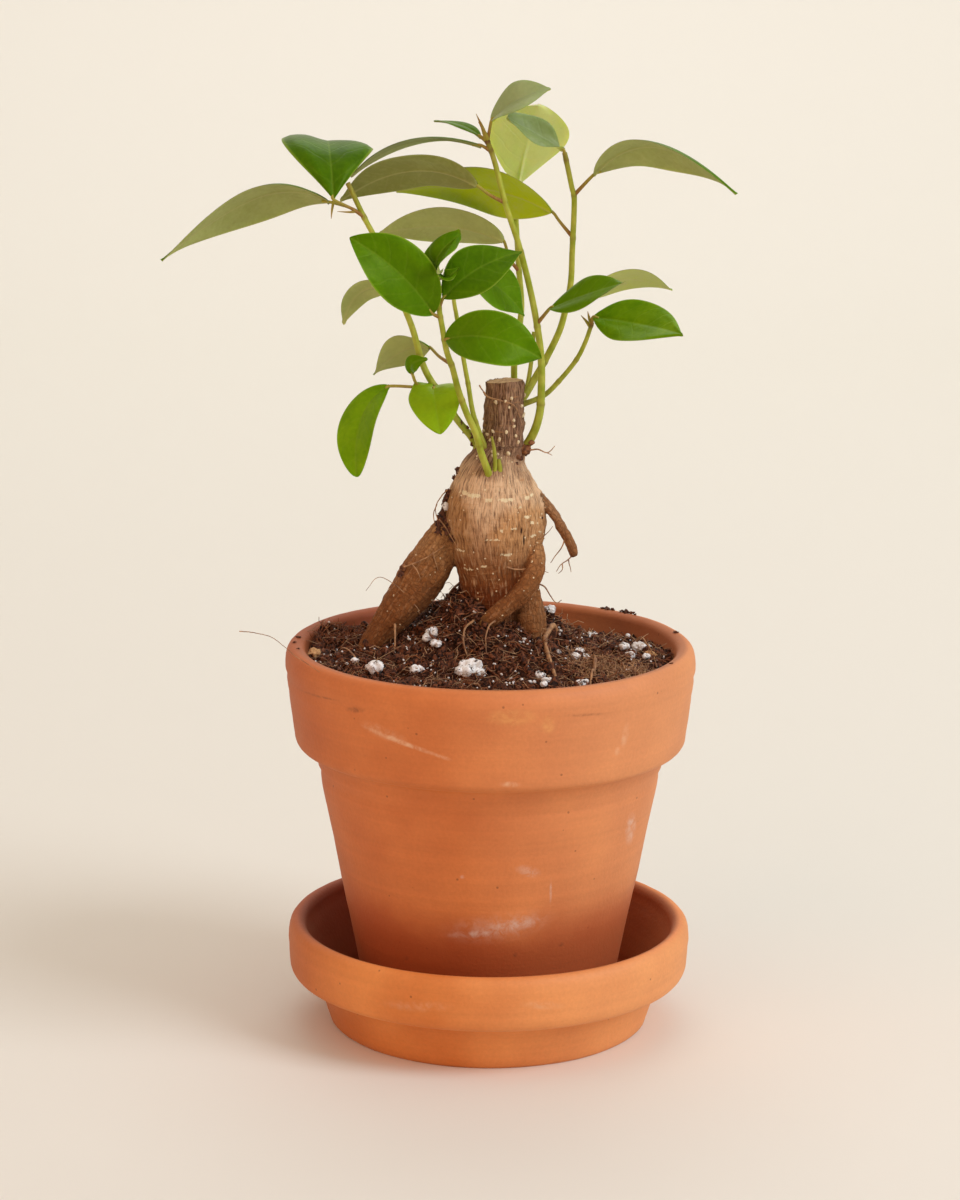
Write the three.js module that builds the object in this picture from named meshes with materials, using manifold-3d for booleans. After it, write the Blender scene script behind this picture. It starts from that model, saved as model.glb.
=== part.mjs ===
// Ginseng ficus: a grafted Ficus microcarpa on its swollen root, in a terracotta pot on a saucer.
// Millimetres, +Z up, front towards -Y. The origin is the centre of the saucer's foot.
import * as THREE from "three";
import { mergeVertices } from "three/addons/utils/BufferGeometryUtils.js";
import Module from "manifold-3d";

const wasm = await Module();
wasm.setup();

// Driving dimensions
const SEAT_GAP = 0.3; // clearance between pieces that touch
const ROUND_SIDES = 40; // facets round the pot, the saucer and the soil
const ARC_STEPS = 3; // facets of a rounding in section
const FOOT_CHAMFER = 0.8;

const SAUCER_HEIGHT = 28.2;
const SAUCER_FLOOR = 6;
const SAUCER_FOOT_RADIUS = 43;
const SAUCER_NECK_RADIUS = 46.4; // under the band
const SAUCER_STEP_RADIUS = 50.6; // middle of the band's underside
const SAUCER_BAND_FOOT_RADIUS = 53.8;
const SAUCER_BAND_RADIUS = 54.3;
const SAUCER_BAND_FOOT = 13; // height of the band's lower edge
const SAUCER_WALL = 4.8;
const SAUCER_INSIDE_RADIUS = 43.6; // of the inner wall, just over the floor

const POT_BASE = SAUCER_FLOOR + SEAT_GAP;
const POT_HEIGHT = 98;
const POT_RIM_RADIUS = 55; // an 11 cm pot
const POT_BAND_HEIGHT = 27.5;
const POT_BAND_FOOT_RADIUS = 52.4;
const POT_STEP_RADIUS = 49; // middle of the band's underside
const POT_NECK_RADIUS = 46.4; // under the band
const POT_FOOT_RADIUS = 33.4;
const POT_RIM_WALL = 5.6;
const POT_NECK_WALL = 4.6;
const POT_FLOOR = 7;
const POT_FLOOR_RADIUS = 28;
const DRAIN_RADIUS = 6.5;
const LIP_ROUNDING = 2.4;

const SOIL_RINGS = 13;
const SOIL_WALL_GAP = 0.45; // between the soil and the pot
const SOIL_LEVEL = 100.2; // plain level of the soil, out from the mound
const SOIL_MOUND = 13.5; // rise of the soil round the trunk
const CRUMB_RELIEF = 1.1; // height of the soil crumbs, shown larger than life
const CRUMB_PITCH = 7;

const SOIL_HOLE_GAP = 0.35; // between the soil and the trunk
const SEAT_SPANS = 4; // spans of a stem, from its foot, that stand in or close to the trunk

const BULB_SIDES = 18;
const BULB_GNARL = 0.018; // share of the radius by which the section leaves the circle
const ROOT_SIDES = 10;
const ROOT_GNARL = 0.05;
const STEM_SIDES = 8;
const PETIOLE_SIDES = 5;
const PETIOLE_RADIUS = 0.5;
const PETIOLE_REACH = 0.12; // share of the way from leaf base to mid that the stalk runs on
const BLADE_THICKNESS = 0.8;
const BLADE_FULLNESS = 0.72; // under 1 makes an oval blade, 1 a pointed one
const BLADE_END_WIDTH = 1.1; // width of a blade where it starts and ends
const BLADE_STEPS = 8; // cells from leaf base to leaf tip
const BLADE_ACROSS = 4; // cells from edge to edge, the midrib between the middle two

const vec = (p) => new THREE.Vector3(p[0], p[1], p[2]);

// Turns a closed three.js geometry into a solid that can be joined or cut.
function solidOf(geometry) {
  const bare = geometry.clone();
  bare.deleteAttribute("normal");
  bare.deleteAttribute("uv");
  const merged = mergeVertices(bare, 1e-4);
  return new wasm.Manifold(
    new wasm.Mesh({
      numProp: 3,
      vertProperties: merged.attributes.position.array,
      triVerts: new Uint32Array(merged.index.array),
    }),
  );
}

function geometryOf(solid) {
  const mesh = solid.getMesh();
  const geometry = new THREE.BufferGeometry();
  geometry.setAttribute("position", new THREE.BufferAttribute(mesh.vertProperties, 3));
  geometry.setIndex(new THREE.BufferAttribute(mesh.triVerts, 1));
  geometry.computeVertexNormals();
  return geometry;
}

const join = (geometries) => geometries.map(solidOf).reduce((whole, piece) => whole.add(piece));

// Cuts the tools away and keeps the largest body, without the scraps left between the tools.
function cut(solid, geometries) {
  const left = geometries.map(solidOf).reduce((whole, tool) => whole.subtract(tool), solid);
  return left.decompose().reduce((large, body) => (body.volume() > large.volume() ? body : large));
}

function indexed(positions, triangles) {
  const geometry = new THREE.BufferGeometry();
  geometry.setAttribute("position", new THREE.Float32BufferAttribute(positions, 3));
  geometry.setIndex(triangles);
  return geometry;
}

// Revolves a closed outline, x = radius and y = height, round the Z axis.
function revolve(path) {
  return new THREE.LatheGeometry(path.getPoints(ARC_STEPS), ROUND_SIDES).rotateX(Math.PI / 2);
}

function saucerGeometry() {
  const top = SAUCER_HEIGHT;
  const bandFoot = SAUCER_BAND_FOOT;
  const innerTop = SAUCER_BAND_RADIUS - SAUCER_WALL;
  const path = new THREE.Path();
  path.moveTo(0, SAUCER_FLOOR);
  path.lineTo(0, 0);
  path.lineTo(SAUCER_FOOT_RADIUS - FOOT_CHAMFER, 0);
  path.lineTo(SAUCER_FOOT_RADIUS, FOOT_CHAMFER);
  path.lineTo(SAUCER_NECK_RADIUS, bandFoot - 1.6);
  path.quadraticCurveTo(SAUCER_NECK_RADIUS + 0.6, bandFoot, SAUCER_STEP_RADIUS, bandFoot + 0.2);
  path.quadraticCurveTo(SAUCER_BAND_FOOT_RADIUS, bandFoot + 0.6, SAUCER_BAND_FOOT_RADIUS, bandFoot + 4);
  path.lineTo(SAUCER_BAND_RADIUS, top - 5);
  path.quadraticCurveTo(SAUCER_BAND_RADIUS, top, SAUCER_BAND_RADIUS - LIP_ROUNDING, top);
  path.quadraticCurveTo(innerTop, top, innerTop, top - 3);
  path.lineTo(SAUCER_INSIDE_RADIUS, SAUCER_FLOOR + 3);
  path.quadraticCurveTo(SAUCER_INSIDE_RADIUS, SAUCER_FLOOR, SAUCER_INSIDE_RADIUS - 3.5, SAUCER_FLOOR);
  path.lineTo(0, SAUCER_FLOOR);
  return revolve(path);
}

// The pot's inner wall, as [radius, height] from the rim down to the floor.
const POT_INSIDE = [
  [POT_RIM_RADIUS - POT_RIM_WALL, POT_BASE + POT_HEIGHT - LIP_ROUNDING],
  [POT_NECK_RADIUS - POT_NECK_WALL, POT_BASE + POT_HEIGHT - POT_BAND_HEIGHT - 3],
  [POT_FLOOR_RADIUS, POT_BASE + POT_FLOOR],
];

function potGeometry() {
  const top = POT_BASE + POT_HEIGHT;
  const bandFoot = top - POT_BAND_HEIGHT;
  const [rim, neck, floor] = POT_INSIDE;
  const path = new THREE.Path();
  path.moveTo(DRAIN_RADIUS, POT_BASE);
  path.lineTo(POT_FOOT_RADIUS - FOOT_CHAMFER, POT_BASE);
  path.lineTo(POT_FOOT_RADIUS, POT_BASE + FOOT_CHAMFER);
  path.lineTo(POT_NECK_RADIUS, bandFoot - 3);
  path.quadraticCurveTo(POT_NECK_RADIUS + 0.5, bandFoot - 0.4, POT_STEP_RADIUS, bandFoot);
  path.quadraticCurveTo(POT_BAND_FOOT_RADIUS, bandFoot + 0.3, POT_BAND_FOOT_RADIUS, bandFoot + 3.4);
  path.lineTo(POT_RIM_RADIUS, top - 5.4);
  path.quadraticCurveTo(POT_RIM_RADIUS, top, POT_RIM_RADIUS - LIP_ROUNDING - 0.6, top);
  path.quadraticCurveTo(rim[0], top, ...rim);
  path.lineTo(...neck);
  path.lineTo(...floor);
  path.lineTo(DRAIN_RADIUS, floor[1]);
  path.lineTo(DRAIN_RADIUS, POT_BASE);
  return revolve(path);
}

// Radius of the pot's inside at a height.
function insideRadius(z) {
  const [rim, neck, floor] = POT_INSIDE;
  const [high, low] = z > neck[1] ? [rim, neck] : [neck, floor];
  return THREE.MathUtils.mapLinear(z, low[1], high[1], low[0], high[0]);
}

// Height of the soil: a mound round the trunk, a heap by the left leg, a dip at the back.
function soilHeight(x, y) {
  const heap = (rise, atX, atY, spread) =>
    rise * Math.exp(-((x - atX) ** 2 + (y - atY) ** 2) / (2 * spread ** 2));
  const across = (2 * Math.PI * x) / CRUMB_PITCH;
  const along = (2 * Math.PI * y) / CRUMB_PITCH;
  const crumbs =
    Math.sin(across + 1.4 * Math.sin(0.61 * along)) * Math.cos(along + 1.7 * Math.sin(0.53 * across));
  return (
    SOIL_LEVEL +
    heap(SOIL_MOUND, -1, 0, 15) +
    heap(4.5, -36, 12, 12) +
    heap(2.5, -31, -4, 9) +
    heap(2.4, -8, -36, 18) +
    heap(-3, 20, 40, 16) +
    CRUMB_RELIEF * crumbs
  );
}

// Perlite grains lying in the soil: [x, y, radius].
const PERLITE = [
  [-5, -32, 3.4],
  [-30, -27, 2.6],
  [-19, -29, 2.6],
  [-15, -13, 2.5],
  [-15, -6, 2.1],
  [40, 4, 2.6],
  [36, -1, 2.2],
  [23, 40, 2.4],
  [13, -33, 2.4],
  [18, -15, 2.1],
  [21, -26, 1.8],
  [-22, 26, 2.4],
  [3, 33, 2.6],
  [32, 22, 2.2],
];

function perliteGrain([x, y, radius], i) {
  const grain = new THREE.IcosahedronGeometry(radius, 0);
  grain.scale(1, 0.8, 0.7);
  grain.rotateX(0.7 * i);
  grain.rotateZ(1.3 * i);
  return grain.translate(x, y, soilHeight(x, y) + 0.2 * radius);
}

// The soil fills the pot: a formula for its top, the pot's inside for its wall.
function soilGeometry() {
  const positions = [];
  const triangles = [];
  const wall = (z) => insideRadius(z) - SOIL_WALL_GAP;
  const brim = (angle) => {
    const level = wall(SOIL_LEVEL);
    return wall(soilHeight(level * Math.cos(angle), level * Math.sin(angle)));
  };
  const ring = (radiusOf, heightOf) => {
    for (let j = 0; j < ROUND_SIDES; j += 1) {
      const angle = (2 * Math.PI * j) / ROUND_SIDES;
      const x = radiusOf(angle) * Math.cos(angle);
      const y = radiusOf(angle) * Math.sin(angle);
      positions.push(x, y, heightOf(x, y));
    }
  };
  const bottom = POT_BASE + POT_FLOOR + SEAT_GAP;
  const neck = POT_INSIDE[1][1];
  positions.push(0, 0, bottom);
  ring(() => wall(bottom), () => bottom);
  ring(() => wall(neck), () => neck);
  for (let i = 0; i < SOIL_RINGS; i += 1) {
    ring((angle) => brim(angle) * (1 - i / SOIL_RINGS), soilHeight);
  }
  positions.push(0, 0, soilHeight(0, 0));
  const rings = SOIL_RINGS + 2;
  const at = (i, j) => 1 + i * ROUND_SIDES + (j % ROUND_SIDES);
  for (let j = 0; j < ROUND_SIDES; j += 1) {
    triangles.push(0, at(0, j + 1), at(0, j));
    triangles.push(at(rings - 1, j), at(rings - 1, j + 1), 1 + rings * ROUND_SIDES);
    for (let i = 0; i + 1 < rings; i += 1) {
      triangles.push(at(i, j), at(i, j + 1), at(i + 1, j + 1));
      triangles.push(at(i, j), at(i + 1, j + 1), at(i + 1, j));
    }
  }
  return indexed(positions, triangles);
}

// A tapered limb through stations [x, y, z, radius], round in section and closed at both ends.
// grow swells it all round, which makes the hole that it stands in.
function limb(stations, sides, { perSpan = 2, grow = 0, gnarl = 0 } = {}) {
  const curve = new THREE.CatmullRomCurve3(stations.map(vec), false, "catmullrom", 0.5);
  const spans = stations.length - 1;
  const count = spans * perSpan;
  const positions = [];
  const triangles = [];
  const side = new THREE.Vector3();
  for (let i = 0; i <= count; i += 1) {
    const t = i / count;
    const centre = curve.getPoint(t);
    const heading = curve.getTangent(t);
    if (i === 0) side.set(1, 0.13, 0);
    side.addScaledVector(heading, -side.dot(heading)).normalize();
    const over = new THREE.Vector3().crossVectors(heading, side);
    const k = Math.min(spans - 1, Math.floor(t * spans));
    const radius = THREE.MathUtils.lerp(stations[k][3], stations[k + 1][3], t * spans - k);
    if (i === 0) positions.push(...centre.clone().addScaledVector(heading, -grow).toArray());
    for (let j = 0; j < sides; j += 1) {
      const angle = (2 * Math.PI * j) / sides;
      const knots = 1 + gnarl * Math.sin(3 * angle + 5 * t) + 0.6 * gnarl * Math.sin(5 * angle - 9 * t);
      const reach = radius * knots + grow;
      const end = i === 0 ? -grow : i === count ? grow : 0;
      const point = centre.clone().addScaledVector(side, reach * Math.cos(angle));
      point.addScaledVector(over, reach * Math.sin(angle)).addScaledVector(heading, end);
      positions.push(...point.toArray());
    }
    if (i === count) positions.push(...centre.clone().addScaledVector(heading, grow).toArray());
  }
  const at = (i, j) => 1 + i * sides + (j % sides);
  const last = 1 + (count + 1) * sides;
  for (let j = 0; j < sides; j += 1) {
    triangles.push(0, at(0, j + 1), at(0, j));
    triangles.push(at(count, j), at(count, j + 1), last);
    for (let i = 0; i < count; i += 1) {
      triangles.push(at(i, j), at(i, j + 1), at(i + 1, j + 1));
      triangles.push(at(i, j), at(i + 1, j + 1), at(i + 1, j));
    }
  }
  return indexed(positions, triangles);
}

// Swollen root and the sawn stub above it, as stations [x, y, z, radius] going up.
const BULB_AND_STUB = [
  [2.2, 0, 96, 9.4],
  [2.2, 0, 106, 9.8],
  [2.4, 0, 113, 10],
  [2.3, 0, 118.5, 10.4],
  [2, 0, 122.7, 10.8],
  [1.5, 0, 126.8, 11.4],
  [1, 0, 131.7, 12.4],
  [0.7, 0, 137, 13.2],
  [0.6, 0, 142.5, 12.9],
  [0.7, 0, 147, 11.4],
  [1.1, 0, 151, 9.5],
  [1.8, 0, 154.3, 7.4],
  [2.6, 0, 157.2, 5.9],
  [3, 0, 163, 5.4],
  [3, 0, 170, 5.2],
  [3.1, 0, 175, 5.2],
];

// Roots that leave the swollen root, as stations [x, y, z, radius] going down.
const ROOTS = {
  leftLeg: [
    [-7, 0, 139, 4.4],
    [-12.5, -1, 132, 5.4],
    [-17, -2, 125, 6],
    [-21, -3, 119, 5.8],
    [-26, -4, 112, 4.6],
    [-31, -4.5, 105.5, 3.2],
    [-34, -5, 100, 2.4],
  ],
  crossing: [
    [9.5, -3, 136, 2],
    [11.8, -7.5, 128.5, 2.5],
    [9.3, -11, 122.5, 2.6],
    [5, -12.6, 118, 2.5],
    [1, -13.4, 114.5, 2.3],
    [-3.5, -12.8, 110, 1.9],
    [-6, -11, 106, 1.5],
  ],
  rightFoot: [
    [8, -4, 122, 3.6],
    [10, -7, 115, 4],
    [10.6, -8, 109.5, 4],
    [11, -8.5, 102, 3.4],
  ],
  backLeg: [
    [1, 6, 131, 4.2],
    [1, 12, 122, 4.6],
    [0, 18, 113, 3.8],
    [-2, 24, 104, 2.8],
    [-3, 26, 98, 2.2],
  ],
  hanging: [
    [9, -2, 147.5, 1.5],
    [13.3, -2, 143.5, 1.4],
    [16.5, -3, 139.5, 1.3],
    [19.3, -4, 135, 1.4],
    [21.3, -5, 131, 1.3],
    [22, -5, 129, 1.1],
  ],
};

const trunkLimbs = (grow) => [
  limb(BULB_AND_STUB, BULB_SIDES, { perSpan: 1, grow, gnarl: BULB_GNARL }),
  ...Object.values(ROOTS).map((root) => limb(root, ROOT_SIDES, { grow, gnarl: ROOT_GNARL })),
];

// Share of a blade's full width at t, from 0 at the leaf base to 1 at the tip.
function bladeWidth(t, widest, point) {
  const swell = Math.PI * t ** (Math.log(0.5) / Math.log(widest));
  return Math.sin(Math.min(swell, Math.PI)) ** (BLADE_FULLNESS + point * t * t);
}

// One leaf blade: its midrib runs through base, mid and tip, its upper side looks to facing.
// widest is where it is widest, point how sharply it narrows to its tip, fold how far both halves
// lift to a V in degrees, and wave how far the edges ripple.
function blade({ base, mid, tip, facing, width, widest = 0.48, point = 0.4, fold = 10, wave = 0.5 }) {
  const bend = vec(mid).multiplyScalar(2).addScaledVector(vec(base), -0.5).addScaledVector(vec(tip), -0.5);
  const midrib = new THREE.QuadraticBezierCurve3(vec(base), bend, vec(tip));
  const positions = [];
  const triangles = [];
  const tilt = THREE.MathUtils.degToRad(fold);
  for (const face of [0.5, -0.5]) {
    for (let i = 0; i <= BLADE_STEPS; i += 1) {
      const t = i / BLADE_STEPS;
      const heading = midrib.getTangent(t);
      const across = heading.clone().cross(vec(facing)).normalize();
      const up = across.clone().cross(heading);
      const half = Math.max(BLADE_END_WIDTH, width * bladeWidth(t, widest, point)) / 2;
      for (let j = 0; j <= BLADE_ACROSS; j += 1) {
        const s = (2 * j) / BLADE_ACROSS - 1;
        const ripple = wave * s * s * Math.sin(2.2 * Math.PI * t + 1.9 * s + width);
        const lift = Math.abs(s) * half * Math.sin(tilt) + ripple;
        const point = midrib.getPoint(t).addScaledVector(across, s * half * Math.cos(tilt));
        point.addScaledVector(up, lift + face * BLADE_THICKNESS);
        positions.push(...point.toArray());
      }
    }
  }
  const row = BLADE_ACROSS + 1;
  const lower = row * (BLADE_STEPS + 1);
  const quad = (a, b, c, d) => triangles.push(a, b, c, a, c, d);
  for (let i = 0; i < BLADE_STEPS; i += 1) {
    for (let j = 0; j < BLADE_ACROSS; j += 1) {
      const a = i * row + j;
      quad(a, a + 1, a + row + 1, a + row);
      triangles.push(lower + a, lower + a + row + 1, lower + a + 1);
      triangles.push(lower + a, lower + a + row, lower + a + row + 1);
    }
    const left = i * row;
    const right = left + BLADE_ACROSS;
    quad(left, left + row, lower + left + row, lower + left);
    quad(right + row, right, lower + right, lower + right + row);
  }
  for (let j = 0; j < BLADE_ACROSS; j += 1) {
    const far = BLADE_STEPS * row + j;
    quad(j + 1, j, lower + j, lower + j + 1);
    quad(far, far + 1, lower + far + 1, lower + far);
  }
  return indexed(positions, triangles);
}

// The stalk of a leaf, from inside its stem to a little way along the blade's midrib.
function petiole({ base, mid, stalk }) {
  const end = vec(base).lerp(vec(mid), PETIOLE_REACH).toArray();
  const stations = [...stalk, base, end].map((p) => [...p, PETIOLE_RADIUS]);
  return limb(stations, PETIOLE_SIDES, { perSpan: 1 });
}

// Leafy stems. route runs from inside the trunk to the stem's tip, radii are at its two ends,
// shoots are bare side shoots as stations [x, y, z, radius]. stalk is the petiole's way from
// the middle of the stem to the leaf base.
const UNDERSIDE = [0, 0.7, 0.72]; // a blade that shows its underside to the front
const LEAFY_STEMS = {
  stem_left_tall: {
    radii: [1, 0.65],
    route: [
      [-2.5, -1, 152.5],
      [-4.9, -1, 158.9],
      [-9.5, -2, 165],
      [-15.5, -3, 174],
      [-18.5, -4, 180],
      [-21, -5, 189],
      [-24, -4, 196.5],
      [-27, -3, 205],
      [-31, -2, 212.5],
      [-34, -1.5, 218],
      [-38, -2, 226.5],
    ],
    leaves: [
      {
        base: [-41.5, -5, 222.5],
        mid: [-43.5, 10, 235.5],
        tip: [-45, 30, 229],
        facing: [0.13, -0.8, 0.6],
        stalk: [[-33.5, -1.5, 217.5], [-37, -3, 220]],
        width: 25,
        widest: 0.6,
        point: -0.1,
        fold: 10,
        wave: 0,
      },
      {
        base: [-42.5, -2, 221.5],
        mid: [-61, 2, 222],
        tip: [-86, -6, 206.5],
        facing: [0, 0.55, 0.83],
        stalk: [[-34, -1.5, 218], [-37.5, -1, 220]],
        width: 14,
        fold: -12,
      },
      {
        base: [-27, -8, 174.5],
        mid: [-33.5, -14, 167],
        tip: [-34, -19, 153],
        facing: [-0.5, -0.75, 0.3],
        stalk: [[-15, -3, 173], [-20.5, -6, 174]],
        width: 12,
        fold: 14,
      },
      {
        base: [-15.5, -7, 174],
        mid: [-15, -13, 171],
        tip: [-13.5, -17, 163.5],
        facing: [0, -0.9, 0.4],
        stalk: [[-15.2, -3, 173.4]],
        width: 13,
        widest: 0.4,
        point: -0.35,
      },
      {
        base: [-21, -7, 177.5],
        mid: [-21, -9, 180.5],
        tip: [-17, -10, 182],
        facing: [-0.4, -0.8, 0.2],
        stalk: [[-15.4, -3, 174], [-19.5, -6, 174.5]],
        width: 4.5,
        wave: 0.2,
      },
      {
        base: [-26.5, 0, 199],
        mid: [-33.5, 4, 196.5],
        tip: [-39.5, 6, 188.5],
        facing: UNDERSIDE,
        stalk: [[-24.3, -4, 197.5]],
        width: 9,
        fold: -8,
      },
    ],
  },
  stem_front: {
    radii: [1.15, 0.62],
    route: [
      [-0.4, -6.5, 148.5],
      [-1.2, -9, 152.3],
      [-3, -10.5, 157.5],
      [-4.5, -12, 163],
      [-7, -14, 169],
      [-9, -16, 175],
      [-10.5, -18, 181],
      [-12, -19.5, 185.5],
      [-13, -21, 191],
      [-14, -22, 197],
      [-14.3, -22.5, 202],
      [-14.5, -22.5, 207],
    ],
    leaves: [
      {
        base: [-15.5, -22.5, 195.5],
        mid: [-24.5, -28, 207],
        tip: [-36.5, -29, 215.5],
        facing: [-0.2, -0.85, 0.5],
        stalk: [[-13.6, -21.6, 194.5]],
        width: 17,
        point: 0.1,
      },
      {
        base: [-13, -22.5, 199.5],
        mid: [-4, -21, 207],
        tip: [7, -15, 210.5],
        facing: [0.1, -0.75, 0.66],
        stalk: [[-14, -22, 197]],
        width: 13.5,
      },
      {
        base: [-14.5, -22.5, 206],
        mid: [-14, -26, 211],
        tip: [-8.5, -24, 216],
        facing: [-0.5, -0.8, 0.3],
        stalk: [[-14.5, -22.5, 205]],
        width: 9.5,
        fold: 20,
      },
      {
        base: [-12, -21.5, 189],
        mid: [0, -27, 190],
        tip: [12, -24, 184.5],
        facing: [0, -0.9, 0.42],
        stalk: [[-12.6, -20.4, 188.5]],
        width: 15,
      },
      {
        base: [-16.5, 0, 183.5],
        mid: [-23.5, 3, 182.5],
        tip: [-31.5, 4, 175.5],
        facing: UNDERSIDE,
        stalk: [[-10.9, -18.2, 182], [-14, -9, 182.5]],
        width: 12,
        fold: 0,
      },
    ],
    // Two cut sprouts beside the stem's foot
    shoots: [
      [
        [0, -7, 149, 0.75],
        [0.7, -8.2, 153, 0.6],
        [0.3, -8.6, 159, 0.45],
      ],
      [
        [0.6, -7, 149, 0.75],
        [1.9, -8, 152, 0.7],
        [1.6, -8.2, 155.5, 0.5],
      ],
    ],
  },
  stem_behind_front: {
    radii: [0.75, 0.5],
    route: [
      [-0.8, -3.2, 155.5],
      [-2, -3.4, 158],
      [-3.4, -3.4, 161.3],
      [-5.3, -4, 167.3],
      [-6.5, -5, 174.5],
      [-7.7, -5, 180.9],
      [-9.5, -5, 191.7],
      [-10.4, -5, 197],
      [-10.6, -5, 203],
    ],
    leaves: [
      {
        base: [-8.5, -4, 205],
        mid: [1, 0, 199.5],
        tip: [8, 3, 191.5],
        facing: [0.3, -0.75, 0.6],
        stalk: [[-10.6, -5, 202.5]],
        width: 13,
      },
    ],
  },
  stem_centre_tall: {
    radii: [1.25, 0.62],
    route: [
      [5.5, 0, 153.5],
      [8.2, -1, 157],
      [10, -1.5, 159.8],
      [11.5, -2, 163.5],
      [12.4, -2.4, 168],
      [12.6, -3, 174],
      [12.5, -3.5, 180],
      [11.8, -4, 187],
      [9.7, -5, 198.3],
      [6.3, -6, 211.3],
      [2.9, -5, 221.2],
      [-0.2, -3.5, 232.6],
      [-2.2, -3, 238],
    ],
    leaves: [
      {
        base: [-3.6, -3, 236.5],
        mid: [-22, 11, 236],
        tip: [-38, 18, 226],
        facing: [0, 0.2, 0.98],
        stalk: [[-1, -3.3, 235]],
        width: 8.5,
        fold: 0,
        wave: 0.2,
      },
      {
        base: [-4.6, -6, 226.5],
        mid: [-21.5, 1, 228],
        tip: [-40.5, 11, 220.5],
        facing: UNDERSIDE,
        stalk: [[2.6, -4.8, 222], [-1.2, -5.5, 224]],
        width: 20,
        fold: 0,
      },
      {
        base: [-1, -3.5, 243],
        mid: [5.5, -8, 248.5],
        tip: [14, -9, 251.5],
        facing: [0.1, -0.8, 0.5],
        stalk: [[-2, -3, 237.5], [-1.6, -3.2, 240]],
        width: 9.5,
        fold: 16,
      },
      {
        base: [-3.8, -2, 238.7],
        mid: [-9, 4, 241],
        tip: [-16, 10, 241.5],
        facing: [0, -0.2, 0.98],
        stalk: [[-2, -3, 237.3]],
        width: 4.2,
        wave: 0.2,
      },
      {
        base: [14.5, -7, 195],
        mid: [23.5, -13, 199.5],
        tip: [33.5, -20, 203.5],
        facing: [0, -0.6, 0.8],
        stalk: [[11.2, -4.3, 190.5]],
        width: 12,
      },
    ],
  },
  stem_back: {
    radii: [0.95, 0.65],
    route: [
      [4.5, 5, 153],
      [5, 8, 160],
      [5.6, 9, 170],
      [5.6, 10, 178],
      [6.6, 12, 185],
      [7.4, 14, 193],
      [6.6, 16, 202.5],
      [6, 18, 211],
      [5.7, 18.5, 217],
      [6, 17.5, 223],
    ],
    leaves: [
      {
        base: [2.5, 14, 210],
        mid: [-13, 16, 213.5],
        tip: [-30.5, 18, 211],
        facing: UNDERSIDE,
        stalk: [[6.8, 15.7, 201.5], [4.2, 14.8, 205]],
        width: 16,
        fold: 6,
      },
      {
        base: [6, 16.5, 224],
        mid: [8.3, 10, 236],
        tip: [11, 4, 246.5],
        facing: [0.1, 0.85, 0.5],
        stalk: [[6, 17.8, 221.5]],
        width: 21,
        widest: 0.6,
        point: -0.1,
        fold: 4,
      },
    ],
  },
  stem_right_tall: {
    radii: [1, 0.65],
    route: [
      [6, 2.2, 167.5],
      [8.6, 3.4, 170.8],
      [11.6, 4.8, 175.9],
      [14, 4.6, 180.4],
      [17.3, 4, 187.6],
      [19, 3, 194.3],
      [20.1, 2, 201],
      [20.3, 1, 208.7],
      [20.6, 0, 221.9],
      [19.8, -1, 226.1],
      [17.9, -2, 234.7],
    ],
    leaves: [
      {
        base: [15, 2, 219],
        mid: [-4, 9, 224.5],
        tip: [-26, 20, 222],
        facing: UNDERSIDE,
        stalk: [[20.4, 0.8, 212.5], [17, 1.5, 216.5]],
        width: 20,
        fold: -4,
      },
      {
        base: [25.5, -1, 229],
        mid: [41, -9, 235.5],
        tip: [61, -22, 226.5],
        facing: [0, 0.55, 0.83],
        stalk: [[20.4, -0.4, 223.5]],
        width: 13.5,
        fold: -14,
      },
      {
        base: [17.6, -2.5, 235.5],
        mid: [11.5, -3.5, 239],
        tip: [2.8, -4.5, 243.8],
        facing: [-0.3, -0.4, 0.85],
        stalk: [[18.3, -1.8, 233]],
        width: 9.5,
        widest: 0.66,
        point: -0.3,
        fold: 20,
      },
      {
        base: [21.8, 6, 194.5],
        mid: [32.5, 15, 198.5],
        tip: [48, 27, 195.5],
        facing: [0, 0.6, 0.8],
        stalk: [[18.9, 3.2, 193.5]],
        width: 13,
        fold: -6,
      },
    ],
    // A short bare shoot from the stem's foot
    shoots: [
      [
        [8.6, 3.4, 170.8, 0.65],
        [9.6, 5, 176, 0.6],
        [10.3, 5.5, 182, 0.55],
        [10.6, 6, 187, 0.5],
      ],
    ],
  },
  stem_right_short: {
    radii: [0.75, 0.55],
    route: [
      [5.8, -0.3, 168],
      [8.9, 0.3, 169],
      [13.4, 1.6, 170.8],
      [17.4, 1, 174.9],
      [21.6, -0.5, 180.5],
      [23.9, -2, 185.4],
      [25.6, -3.5, 190.8],
    ],
    leaves: [
      {
        base: [25.8, -4.5, 192.5],
        mid: [37.5, -13, 192],
        tip: [48, -25, 191],
        facing: [0, -0.8, 0.6],
        stalk: [[25.4, -3.3, 190]],
        width: 14,
      },
    ],
  },
};

// A stem's own tube; its first spans, grown, bore its seat in the trunk.
function stemTube({ route, radii }, spans = route.length - 1, grow = 0) {
  const stations = route.slice(0, spans + 1).map((p, i) => {
    const share = i / (route.length - 1);
    return [...p, THREE.MathUtils.lerp(radii[0], radii[1], share)];
  });
  return limb(stations, STEM_SIDES, { perSpan: 1, grow });
}

const shootTubes = ({ shoots = [] }, grow = 0) =>
  shoots.map((shoot) => limb(shoot, PETIOLE_SIDES, { perSpan: 1, grow }));

function leafyStem(stem) {
  return join([stemTube(stem), ...shootTubes(stem), ...stem.leaves.map(petiole), ...stem.leaves.map(blade)]);
}

const stemSeats = (stem) => [stemTube(stem, SEAT_SPANS, SEAT_GAP), ...shootTubes(stem, SEAT_GAP)];

const matt = (color, roughness) => new THREE.MeshStandardMaterial({ color, roughness });

const ficus = new THREE.Group();

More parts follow.
